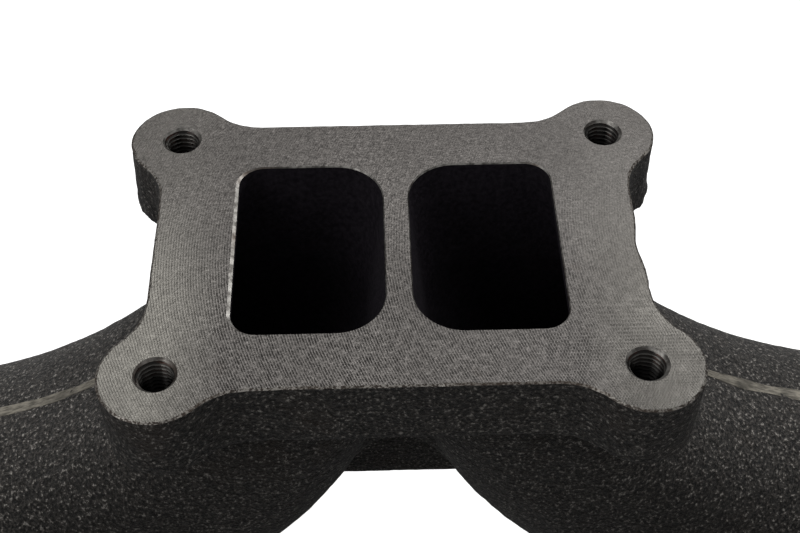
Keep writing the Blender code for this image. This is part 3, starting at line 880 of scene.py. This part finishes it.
def leaning_ears():
    """The walls of the two ears away from the head, which lean outwards below the milled face."""
    ears = []
    for side, lean in EAR_LEANS:
        rings = []
        for height, shift in ((-EAR_LEAN_START, 0.0), (-FLANGE_THICKNESS, lean)):
            middle = Vector((side * (STUD_PITCH_X / 2 + shift), STUD_PITCH_Y / 2, 0))
            rings.append([middle + point for point in circle(EAR_RADIUS, height)])
        ears.append(loft(rings))
    return ears


def ear_flash():
    """Two lumps of flash left on the side of one ear, over the rear leg and away from the head."""
    lumps = []
    for degrees, height in FLASH_SPOTS:
        middle = Vector((STUD_PITCH_X / 2, STUD_PITCH_Y / 2, 0))
        place = middle + polar(EAR_RADIUS, math.radians(degrees), height)
        lumps.append(turned(FLASH_PROFILE, CAST, Matrix.Translation(place), THREAD_SEGMENTS))
    return lumps


def make_centre_casting():
    flange = prism(flange_outline(), -FLANGE_THICKNESS, MACHINING_ALLOWANCE)
    solids = [flange, web(), crotch()] + leaning_ears() + ear_flash()
    solids += [leg_outside(side) for side in SIDES.values()]
    for number in SECTION_CYLINDERS["centre"]:
        solids += port_solids(number)
    casting = cast_skin("centre_casting", solids)
    combine(casting, [leg_ridge(side) for side in SIDES.values()], "UNION")
    holes = [tapped_hole(x, y) for x in (-1, 1) for y in (-1, 1)]
    combine(casting, [leg_passage(side) for side in SIDES.values()] + holes, "DIFFERENCE")
    bores = []
    for side in SIDES.values():
        ends = (SOCKET_FLOOR_X, SOCKET_MOUTH_X + 2 * MACHINING_ALLOWANCE)
        profile = [(SOCKET_BORE_RADIUS, side * x) for x in ends]
        bores.append(turned(profile, MACHINED, ON_LOG))
    combine(casting, bores, "DIFFERENCE")
    machine_ports(casting, SECTION_CYLINDERS["centre"])
    for side in SIDES.values():
        face_off(casting, (side * SOCKET_MOUTH_X, 0, 0), (side, 0, 0))
    face_off(casting, (0, 0, 0), (0, 0, 1))
    return casting


# ---------------- end castings

def trunk_rings(first_x, last_x, offset):
    """Rings of an end casting's trunk, ending in a dome over its last port."""
    end = TRUNK_END_RADIUS - offset
    rings = [log_ring(first_x, TRUNK_RADIUS - offset), log_ring(last_x, end)]
    for degrees in DOME_DEGREES:
        angle = math.radians(degrees)
        rings.append(log_ring(last_x + end * math.sin(angle), end * math.cos(angle)))
    return rings


def spigot_profile(side):
    """The machined spigot with its two ring grooves and its shoulder, as (radius, x) points."""
    tip = SPIGOT_TIP_X
    points = [(SPIGOT_RADIUS - EDGE_CHAMFER, tip), (SPIGOT_RADIUS, tip + EDGE_CHAMFER)]
    for start in RING_OFFSETS:
        low = tip + start
        high = low + GROOVE_WIDTH
        points += [(SPIGOT_RADIUS, low), (GROOVE_RADIUS, low)]
        points += [(GROOVE_RADIUS, high), (SPIGOT_RADIUS, high)]
    outer_x = SHOULDER_X + SHOULDER_WIDTH
    points += [(SPIGOT_RADIUS, SHOULDER_X), (SHOULDER_RADIUS - EDGE_CHAMFER, SHOULDER_X)]
    points += [(SHOULDER_RADIUS, SHOULDER_X + EDGE_CHAMFER), (SHOULDER_RADIUS, outer_x)]
    points.append((TRUNK_RADIUS - TRUNK_WALL / 2, outer_x))
    return [(radius, side * x) for radius, x in points]


def trunk_ridge(side, last_x):
    """The parting ridge along the top of a trunk, round its dome and back along its bottom."""
    path = []
    first_x = SHOULDER_X + SHOULDER_WIDTH + 2 * SHOULDER_TAPER
    for x in np.linspace(first_x, last_x, RIDGE_STEPS):
        radius = blend(TRUNK_RADIUS, TRUNK_END_RADIUS, (x - first_x) / (last_x - first_x))
        path.append((Vector((side * x, 0, LOG_Z + radius)), Vector((0, 0, 1))))
    for degrees in np.linspace(0, 180, RIDGE_STEPS)[1:]:
        angle = math.radians(degrees)
        outward = Vector((side * math.sin(angle), 0, math.cos(angle)))
        path.append((Vector((side * last_x, 0, LOG_Z)) + outward * TRUNK_END_RADIUS, outward))
    return ridge(path, side)


def make_end_casting(end):
    side = SIDES[end]
    cylinders = SECTION_CYLINDERS[end]
    last_x = max(abs(PORT_X[number]) for number in cylinders)
    shoulder_end = SHOULDER_X + SHOULDER_WIDTH
    trunk_x = shoulder_end + SHOULDER_TAPER
    inside_x = shoulder_end - SHOULDER_WIDTH / 2
    taper = [log_ring(x, SHOULDER_RADIUS) for x in (inside_x, shoulder_end)]
    taper.append(log_ring(trunk_x, TRUNK_RADIUS))
    solids = [loft(mirrored(taper, side))]
    solids.append(loft(mirrored(trunk_rings(shoulder_end, last_x, 0), side)))
    for number in cylinders:
        solids += port_solids(number)
    casting = cast_skin(f"{end}_casting", solids)
    combine(casting, [trunk_ridge(side, last_x)], "UNION")
    combine(casting, [turned(spigot_profile(side), MACHINED, ON_LOG)], "UNION")
    hollow = trunk_rings(trunk_x, last_x, TRUNK_WALL)
    tip_x = SPIGOT_TIP_X - MACHINING_ALLOWANCE
    bore = [log_ring(x, SPIGOT_BORE_RADIUS) for x in (tip_x, shoulder_end)]
    combine(casting, [loft(mirrored(bore + hollow, side), PASSAGE)], "DIFFERENCE")
    machine_ports(casting, cylinders)
    return casting


# ---------------- rings, gaskets and fasteners

def finish_piece(node, mesh, slot, place):
    """Hands over a finished piece that isn't a casting, with crisp edges where faces meet."""
    name = f"{node}_finished"
    mesh.name = name
    mesh.materials.append(PLAIN_MATERIALS[slot])
    for polygon in mesh.polygons:
        polygon.material_index = 0
    mesh.shade_smooth()
    mesh.set_sharp_from_angle(angle=math.radians(SHARP_EDGE_DEG))
    piece = new_object(name, mesh)
    piece.matrix_world = place
    hand_over(piece, node)


def broken_section(inner, outer, half, edge):
    """A ring's rectangular section with broken edges, as (radius, height) points."""
    return [
        (inner, edge - half), (inner + edge, -half), (outer - edge, -half), (outer, edge - half),
        (outer, half - edge), (outer - edge, half), (inner + edge, half), (inner, half - edge),
    ]


def swept(profile, directions):
    """A (radius, height) profile turned to each direction about local Z."""
    return [[(x * radius, y * radius, z) for radius, z in profile] for x, y in directions]


def make_seal_ring(node):
    """A split ring, its gap at the top."""
    low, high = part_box(node)
    outer = (high.y - low.y) / 2
    profile = broken_section(outer - RING_DEPTH, outer, (high.x - low.x) / 2, RING_EDGE)
    gap = RING_GAP_DEG / 2
    directions = arc((0, 0), 1, gap - 180, 180 - gap, ROUND_SEGMENTS)
    place = Matrix.Translation(((low.x + high.x) / 2, 0, 0)) @ ON_LOG
    finish_piece(node, loft(swept(profile, directions)), "ring_iron", place)


def make_gasket(number):
    """A pressed steel gasket with a raised sealing bead round its opening."""
    node = f"port_{number}_gasket"
    low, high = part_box(node)
    thickness = high.y - low.y
    sheet = thickness * GASKET_SHEET_SHARE

    def opening(margin):
        halves = (PORT_HALF_WIDTH + margin, PORT_HALF_HEIGHT + margin)
        return rounded_rectangle(*halves, PORT_CORNER + margin, PORT_CORNER + margin)

    bm = bmesh.new()

    def ring(outline, height):
        return [bm.verts.new((x, y, height)) for x, y in outline]

    def strip(lower, upper):
        for i in range(len(lower)):
            j = (i + 1) % len(lower)
            bm.faces.new((lower[i], lower[j], upper[j], upper[i]))

    def fill(loops):
        edges = []
        for loop in loops:
            for i, vertex in enumerate(loop):
                pair = (loop[i - 1], vertex)
                edges.append(bm.edges.get(pair) or bm.edges.new(pair))
        bmesh.ops.triangle_fill(bm, edges=edges, use_beauty=True)

    outlines = [port_flange_outline(number, GASKET_INSET)]
    for offset in bolt_offsets(number):
        outlines.append(arc(offset, BOLT_HOLE_RADIUS, 0, 360, THREAD_SEGMENTS)[1:])
    seats = [ring(outline, 0) for outline in outlines]
    tops = [ring(outline, sheet) for outline in outlines]
    for seat, top in zip(seats, tops):
        strip(seat, top)
    beads = [ring(opening(GASKET_MARGIN), 0)]
    for share, height in GASKET_BEAD:
        margin = GASKET_MARGIN + share * GASKET_BEAD_WIDTH
        beads.append(ring(opening(margin), blend(sheet, thickness, height)))
    for lower, upper in zip(beads, beads[1:]):
        strip(lower, upper)
    fill(seats + beads[:1])
    fill(tops + beads[-1:])
    bmesh.ops.recalc_face_normals(bm, faces=bm.faces)
    mesh = bpy.data.meshes.new("gasket")
    bm.to_mesh(mesh)
    bm.free()
    on_face = Matrix.Translation((0, 0, -high.y))
    finish_piece(node, mesh, "gasket_steel", port_place(number) @ on_face)


def make_sleeve(node):
    """A turned spacer sleeve, reaching to its seat and to the bolt's head."""
    low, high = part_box(node)
    half = (high.y - low.y) / 2 + SLEEVE_REACH
    profile = broken_section(BOLT_HOLE_RADIUS, SLEEVE_RADIUS, half, EDGE_CHAMFER / 2)
    directions = arc((0, 0), 1, 0, 360, ROUND_SEGMENTS // 2)[1:]
    mesh = loft(swept(profile, directions), capped=False)
    finish_piece(node, mesh, "sleeve_steel", Matrix.Translation((low + high) / 2) @ HEAD_SIDE)


def bolt_rings():
    """Rings of a flanged hex bolt: bearing face at height 0, shank along +Z, head along -Z."""
    apothem = BOLT_ACROSS_FLATS / 2
    sixth = math.pi / 3
    top = -BOLT_HEAD
    thread_start = BOLT_REACH - BOLT_THREAD_LENGTH
    thread_end = BOLT_REACH - THREAD_PITCH

    def shank(angle, height):
        radius = thread_radius(angle, height, BOLT_CORE_RADIUS, BOLT_RADIUS)
        return min(radius, BOLT_RADIUS - max(0.0, height - thread_end) * BOLT_LEAD_SLOPE)

    rings = threaded_rings(thread_start, BOLT_REACH, shank)[::-1]
    for radius, height in ((BOLT_SHANK_RADIUS, thread_start - THREAD_RUNOUT), *BOLT_COLLAR):
        rings.append(circle(radius, height, THREAD_SEGMENTS))
    for share in HEX_STEPS:
        height = blend(-BOLT_WASHER_THICKNESS, top, share)
        ring = []
        for i in range(1, THREAD_SEGMENTS + 1):
            angle = 2 * math.pi * i / THREAD_SEGMENTS
            crown = apothem * HEX_CROWN + (height - top) * HEX_CROWN_SLOPE
            radius = min(apothem / math.cos(angle % sixth - sixth / 2), crown)
            ring.append(polar(radius, angle, height))
        rings.append(ring)
    for share, depth in HEX_DISH:
        rings.append(circle(apothem * share, top + depth, THREAD_SEGMENTS))
    return rings


def make_bolt(node):
    low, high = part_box(node)
    middle = (low + high) / 2
    place = Matrix.Translation((middle.x, high.y - BOLT_HEAD, middle.z)) @ HEAD_SIDE
    finish_piece(node, loft(bolt_rings()), "bolt_steel", place)


# ---------------- materials

class Finish:
    """One procedural material; its pattern follows the piece's own coordinates."""

    def __init__(self, name):
        self.material = bpy.data.materials.new(name)
        self.material.use_nodes = True
        self.tree = self.material.node_tree
        self.shader = self.tree.nodes["Principled BSDF"]
        self.place = self.tree.nodes.new("ShaderNodeTexCoord").outputs["Object"]
        self.bump = None

    def add(self, kind, inputs=None, output=0, **settings):
        node = self.tree.nodes.new("ShaderNode" + kind)
        for name, value in settings.items():
            setattr(node, name, value)
        for key, value in (inputs or {}).items():
            self.put(node.inputs[key], value)
        return node.outputs[output]

    def put(self, socket, value):
        if isinstance(value, bpy.types.NodeSocket):
            self.tree.links.new(value, socket)
        else:
            socket.default_value = value

    def axes(self):
        """The sockets of a place's three coordinates."""
        node = self.tree.nodes.new("ShaderNodeSeparateXYZ")
        self.put(node.inputs[0], self.place)
        return node.outputs

    def noise(self, scale, detail=2.0, rough=0.5, place=None):
        inputs = {"Vector": place or self.place, "Scale": scale, "Detail": detail}
        return self.add("TexNoise", inputs | {"Roughness": rough})

    def stretched(self, x, y, z):
        inputs = {0: self.place, 1: (x, y, z)}
        return self.add("VectorMath", inputs, operation="MULTIPLY")

    def range(self, value, low, high, to_low=0.0, to_high=1.0):
        inputs = {"Value": value, "From Min": low, "From Max": high}
        return self.add("MapRange", inputs | {"To Min": to_low, "To Max": to_high})

    def math(self, operation, first, second=0.0):
        return self.add("Math", {0: first, 1: second}, operation=operation)

    def mix(self, share, first, second):
        inputs = {"Fac": share}
        for key, colour in (("Color1", first), ("Color2", second)):
            inputs[key] = (*colour, 1.0) if isinstance(colour, tuple) else colour
        return self.add("MixRGB", inputs)

    def over(self, colour, tone, value, low, high, most=1.0):
        """Lays a tone over a colour where a value passes its limits."""
        return self.mix(self.range(value, low, high, 0.0, most), colour, tone)

    def raise_by(self, height, distance, strength=1.0):
        """Adds relief on top of what there is."""
        inputs = {"Height": height, "Distance": distance, "Strength": strength}
        if self.bump:
            inputs["Normal"] = self.bump
        self.bump = self.add("Bump", inputs)

    def done(self, colour, roughness, metallic, specular=0.5):
        self.put(self.shader.inputs["Base Color"], colour)
        self.put(self.shader.inputs["Roughness"], roughness)
        self.put(self.shader.inputs["Metallic"], metallic)
        self.put(self.shader.inputs["Specular IOR Level"], specular)
        if self.bump:
            self.put(self.shader.inputs["Normal"], self.bump)
        return self.material


RUST = (0.050, 0.034, 0.024)
STAIN = (0.068, 0.052, 0.041)


def cast_finish():
    """Dark sand-cast skin: grainy, pitted, with painted glints on scattered grains and faint rust."""
    f = Finish("cast_iron_skin")
    grain = f.noise(1000, 4.0, 0.7)
    coarse = f.noise(380, 3.0, 0.6)
    colour = f.mix(f.range(grain, 0.44, 0.62), (0.0055, 0.0050, 0.0045), (0.104, 0.094, 0.084))
    colour = f.over(colour, (0.022, 0.0205, 0.019), f.noise(28, 3.0), 0.35, 0.65, 0.2)
    colour = f.over(colour, RUST, f.noise(45, 4.0), 0.56, 0.72, 0.35)
    # Painted glints: scattered grains lightened to a bright tone, as if catching the light
    glint = f.range(f.noise(1000, 2.0, 0.7), 0.61, 0.68)
    colour = f.mix(glint, colour, (0.42, 0.40, 0.37))
    f.raise_by(coarse, 0.0014, 0.9)
    f.raise_by(grain, 0.0010, 0.9)
    roughness = f.range(coarse, 0.3, 0.7, 0.70, 0.48)
    f.put(f.shader.inputs["Sheen Weight"], 0.12)
    f.put(f.shader.inputs["Sheen Roughness"], 0.35)
    return f.done(colour, roughness, f.range(glint, 0, 1, 0.25, 0.8), 0.4)


def milled_finish():
    """Face-milled iron: broken arcs left by the cutter, strongest on the head's side.

    The ears there are worn bright, the right-hand side is lightened as a painted reflection, and the
    far side is darker.
    """
    f = Finish("milled_iron")
    along, across, _ = f.axes()
    square = f.math("MULTIPLY", across, across)
    reach = f.math("SQRT", f.math("SUBTRACT", CUTTER_RADIUS**2, square))
    wobble = f.math("MULTIPLY", f.noise(90, 3.0), CUTTER_FEED * 1.2)
    arcs = []
    for operation in ("ADD", "SUBTRACT"):
        phase = f.math("ADD", f.math(operation, along, reach), wobble)
        arcs.append(f.math("SINE", f.math("MULTIPLY", phase, 2 * math.pi / CUTTER_FEED)))
    broken = f.range(f.noise(420, 3.0, 0.6), 0.38, 0.60, 0.35, 1.0)
    near_head = f.range(across, -0.020, 0.020, 1.0, 0.22)
    first = f.math("MULTIPLY", broken, near_head)
    corner = f.math("MULTIPLY", f.range(along, 0.030, 0.055), f.range(across, -0.018, -0.034))
    second = f.math("MULTIPLY", corner, f.range(f.noise(90, 2.0), 0.38, 0.54, 0.2, 1.0))
    trails = f.math("ADD", f.math("MULTIPLY", arcs[0], first), f.math("MULTIPLY", arcs[1], second))
    graphite = f.range(f.noise(1300, 3.0, 0.75), 0.38, 0.62, -0.6, 0.6)
    mottle = f.range(f.noise(480, 3.0, 0.65), 0.36, 0.64, -0.35, 0.35)
    tone = f.math("ADD", f.math("ADD", graphite, mottle), f.math("MULTIPLY", trails, 0.95))
    colour = f.mix(f.range(tone, -1.1, 1.2), (0.014, 0.013, 0.012), (0.196, 0.183, 0.172))
    worn = f.math("MULTIPLY", f.range(f.math("ABSOLUTE", along), 0.044, 0.062), near_head)
    colour = f.mix(f.math("MULTIPLY", worn, 0.80), colour, (0.240, 0.230, 0.205))
    # Painted reflection: the face grows lighter towards its right-hand side
    colour = f.over(colour, (0.175, 0.165, 0.158), along, -0.01, 0.07, 0.30)
    colour = f.over(colour, (0.055, 0.050, 0.047), across, 0.020, 0.045, 0.25)
    clouds = f.noise(24, 4.0, 0.6)
    colour = f.over(colour, (0.078, 0.072, 0.067), clouds, 0.35, 0.68, 0.25)
    colour = f.over(colour, STAIN, f.noise(60, 5.0, 0.7), 0.62, 0.78, 0.4)
    f.raise_by(trails, 0.00007, 0.8)
    f.raise_by(graphite, 0.00007, 0.8)
    return f.done(colour, f.range(clouds, 0.3, 0.7, 0.40, 0.52), 0.9, 0.5)


def thread_finish():
    """Cut threads: steel-grey at each crest, painted shade down the flanks into the roots, faint rust
    in the roots, and painted shade deepening into the hole.
    """
    f = Finish("cut_thread")
    x, y, z = f.axes()
    squares = []
    for position, pitch in ((x, STUD_PITCH_X), (y, STUD_PITCH_Y)):
        offset = f.math("SUBTRACT", f.math("ABSOLUTE", position), pitch / 2)
        squares.append(f.math("MULTIPLY", offset, offset))
    radius = f.math("SQRT", f.math("ADD", *squares))
    patches = f.range(f.noise(260, 3.0), 0.46, 0.62, 0.0, 0.8)
    roots = f.math("MULTIPLY", f.range(radius, THREAD_MIDDLE, THREAD_MAJOR), patches)
    # Painted shade: the steel-grey of each crest darkens down the flanks towards the roots
    depth = f.range(radius, THREAD_MINOR, THREAD_MIDDLE)
    crest_grey_flank_shade = f.mix(depth, (0.17, 0.163, 0.152), (0.03, 0.028, 0.026))
    colour = f.mix(roots, crest_grey_flank_shade, (0.075, 0.028, 0.018))
    # Painted shade: the threads darken between two heights, deeper into the hole
    colour = f.over(colour, (0.004, 0.0036, 0.0034), z, *THREAD_SHADE, 0.95)
    f.raise_by(f.noise(1500, 2.0), 0.00005, 0.4)
    return f.done(colour, 0.24, 0.9)


def grained_finish(name, grain, tones, relief, surface, patches=None, patch_tone=None, stretch=None):
    """Fine grain between two tones, with relief from the grain and perhaps patches over it.

    grain: scale, detail, roughness, and the limits between which the tones change.
    patches: scale, the limits of their edges, and how strong they are.
    relief: height and strength. surface: roughness, metallic, specular.
    """
    f = Finish(name)
    place = f.stretched(*stretch) if stretch else None
    pattern = f.noise(*grain[:3], place)
    colour = f.mix(f.range(pattern, *grain[3:]), *tones)
    if patches:
        scale, start, end, strength = patches
        colour = f.over(colour, patch_tone, f.noise(scale, 3.0), start, end, strength)
    f.raise_by(pattern, *relief)
    return f.done(colour, *surface)


def turned_finish(name, low, high, roughness, line_scale):
    """Bright turned or rolled metal with fine lines across its own Z."""
    f = Finish(name)
    lines = f.noise(line_scale, 2.0, 0.5, f.stretched(0.06, 0.06, 1.0))
    clouds = f.noise(90, 3.0)
    colour = f.mix(f.range(clouds, 0.35, 0.65), low, high)
    f.raise_by(lines, 0.00005, 0.5)
    return f.done(colour, f.range(lines, 0.3, 0.7, roughness - 0.08, roughness + 0.1), 1.0)


def phosphate_finish():
    """Dark phosphated steel with scuffs and a little rust."""
    f = Finish("phosphated_steel")
    grain = f.noise(1400, 3.0, 0.6)
    clouds = f.noise(170, 4.0, 0.6)
    colour = f.mix(f.range(grain, 0.35, 0.65), (0.050, 0.048, 0.047), (0.105, 0.100, 0.096))
    colour = f.mix(f.range(clouds, 0.56, 0.72), colour, (0.110, 0.062, 0.038))
    f.raise_by(grain, 0.00008, 0.5)
    return f.done(colour, f.range(clouds, 0.3, 0.7, 0.38, 0.6), 0.85)


# ---------------- stage

def make_floor():
    """A plain pale floor under the part; it looks brighter than the light it throws back."""
    f = Finish("pale_floor")
    seen = f.add("LightPath", output="Is Camera Ray")
    tone = f.mix(seen, (FLOOR_BOUNCE,) * 3, (FLOOR_TONE,) * 3)
    f.put(f.shader.inputs["Emission Color"], (1, 1, 1, 1))
    f.put(f.shader.inputs["Emission Strength"], f.math("MULTIPLY", seen, FLOOR_GLOW))
    mesh = bpy.data.meshes.new("floor")
    half = FLOOR_HALF
    corners = [(-half, -half, 0), (half, -half, 0), (half, half, 0), (-half, half, 0)]
    mesh.from_pydata(corners, [], [(0, 1, 2, 3)])
    mesh.materials.append(f.done(tone, FLOOR_ROUGHNESS, 0.0, 0.0))
    floor = new_object("floor", mesh)
    floor.location.z = cad_bounds[0].z - FLOOR_GAP


def make_studio():
    """White surroundings for the camera, dimmer ones for the part, and two soft lamps."""
    world = bpy.data.worlds.new("studio")
    bpy.context.scene.world = world
    world.use_nodes = True
    tree = world.node_tree
    tone = tree.nodes.new("ShaderNodeMixRGB")
    tone.inputs["Color1"].default_value = (*(WORLD_LIGHT,) * 3, 1)
    tone.inputs["Color2"].default_value = (1, 1, 1, 1)
    seen = tree.nodes.new("ShaderNodeLightPath").outputs["Is Camera Ray"]
    tree.links.new(seen, tone.inputs["Fac"])
    tree.links.new(tone.outputs[0], tree.nodes["Background"].inputs["Color"])
    for name, place, size, power in SOFT_LAMPS:
        lamp = bpy.data.lights.new(name, "AREA")
        lamp.size = size
        lamp.energy = power
        holder = new_object(name, lamp)
        holder.location = place
        holder.rotation_mode = "QUATERNION"
        holder.rotation_quaternion = (-Vector(place)).to_track_quat("-Z", "Y")


def make_camera():
    data = bpy.data.cameras.new("camera")
    data.lens = CAMERA_LENS
    data.sensor_width = CAMERA_SENSOR
    data.clip_start = CAMERA_NEAREST
    camera = new_object("camera", data)
    aim = Vector(CAMERA_TARGET) - Vector(CAMERA_PLACE)
    roll = Matrix.Rotation(math.radians(CAMERA_ROLL_DEG), 4, "Z")
    turn = aim.to_track_quat("-Z", "Y").to_matrix().to_4x4()
    camera.matrix_world = Matrix.Translation(CAMERA_PLACE) @ turn @ roll
    bpy.context.scene.camera = camera
    bpy.context.scene.view_settings.view_transform = "Standard"


# ---------------- the whole part

def hand_over(piece, node):
    """Lets a finished piece stand for its CAD node and ride on that node's body."""
    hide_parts(node)
    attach(piece, frame["nodes"][node]["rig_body"])


def finish_casting(casting, node):
    """Shades a casting smoothly, with crisp edges at corners and between its finishes."""
    mesh = casting.data
    mesh.shade_smooth()
    mesh.set_sharp_from_angle(angle=math.radians(CAST_SHARP_DEG))
    bm = bmesh.new()
    bm.from_mesh(mesh)
    for edge in bm.edges:
        if len({face.material_index for face in edge.link_faces}) > 1:
            edge.smooth = False
    bm.to_mesh(mesh)
    bm.free()
    hand_over(casting, node)


IRON_MATERIALS = {
    "cast": cast_finish(),
    "machined": milled_finish(),
    # The burred edge of the milled faces: light teeth, browned in between
    "rim": grained_finish(
        "burred_edge", grain=(1500, 2.0, 0.6, 0.44, 0.58),
        tones=((0.060, 0.050, 0.043), (0.36, 0.34, 0.31)), relief=(0.0001, 0.6),
        surface=(0.40, 0.85), patches=(55, 0.48, 0.66, 0.5), patch_tone=(0.095, 0.072, 0.056)),
    # Broken edges of openings and countersinks: filed bare iron, its light tone raised further as a
    # painted highlight
    "filed": grained_finish(
        "filed_edge_painted_highlight", grain=(420, 3.0, 0.6, 0.38, 0.62),
        tones=((0.110, 0.103, 0.095), (0.400, 0.385, 0.360)), relief=(0.00006, 0.4),
        surface=(0.36, 0.9), patches=(60, 0.52, 0.66, 0.6), patch_tone=(0.080, 0.052, 0.038)),
    "thread": thread_finish(),
    # The cored inside of the passages: sooty and nearly black
    "passage": grained_finish(
        "sooty_passage", grain=(700, 4.0, 0.6, 0.35, 0.65),
        tones=((0.0110, 0.0088, 0.0125), (0.0270, 0.0225, 0.0290)), relief=(0.0006, 0.7),
        surface=(0.85, 0.0, 0.15)),
    # The parting ridge, ground down to bare iron and lightly browned since
    "ground": grained_finish(
        "ground_ridge", grain=(900, 3.0, 0.6, 0.38, 0.62),
        tones=((0.130, 0.120, 0.100), (0.330, 0.305, 0.255)), relief=(0.0002, 0.5),
        surface=(0.55, 0.6), patches=(150, 0.50, 0.66, 0.6), patch_tone=(0.060, 0.056, 0.049),
        stretch=(0.35, 1.6, 0.35)),
}

PLAIN_MATERIALS = {
    "ring_iron": turned_finish("ring_iron", (0.20, 0.19, 0.18), (0.34, 0.33, 0.32), 0.34, 2600),
    "gasket_steel": turned_finish("gasket_steel", (0.34, 0.34, 0.35), (0.46, 0.46, 0.47), 0.36, 1500),
    "sleeve_steel": turned_finish("sleeve_steel", (0.24, 0.24, 0.245), (0.36, 0.36, 0.365), 0.36, 2400),
    "bolt_steel": phosphate_finish(),
}

finish_casting(make_centre_casting(), "centre_section")
for end in SIDES:
    finish_casting(make_end_casting(end), f"{end}_section")

for end in SIDES:
    for place in ("inner", "outer"):
        make_seal_ring(f"{end}_seal_ring_{place}")
for number in CYLINDERS:
    make_gasket(number)
    for spot in SPOTS:
        make_sleeve(f"port_{number}_{spot}_sleeve")
        make_bolt(f"port_{number}_{spot}_bolt")

make_floor()
make_studio()
make_camera()
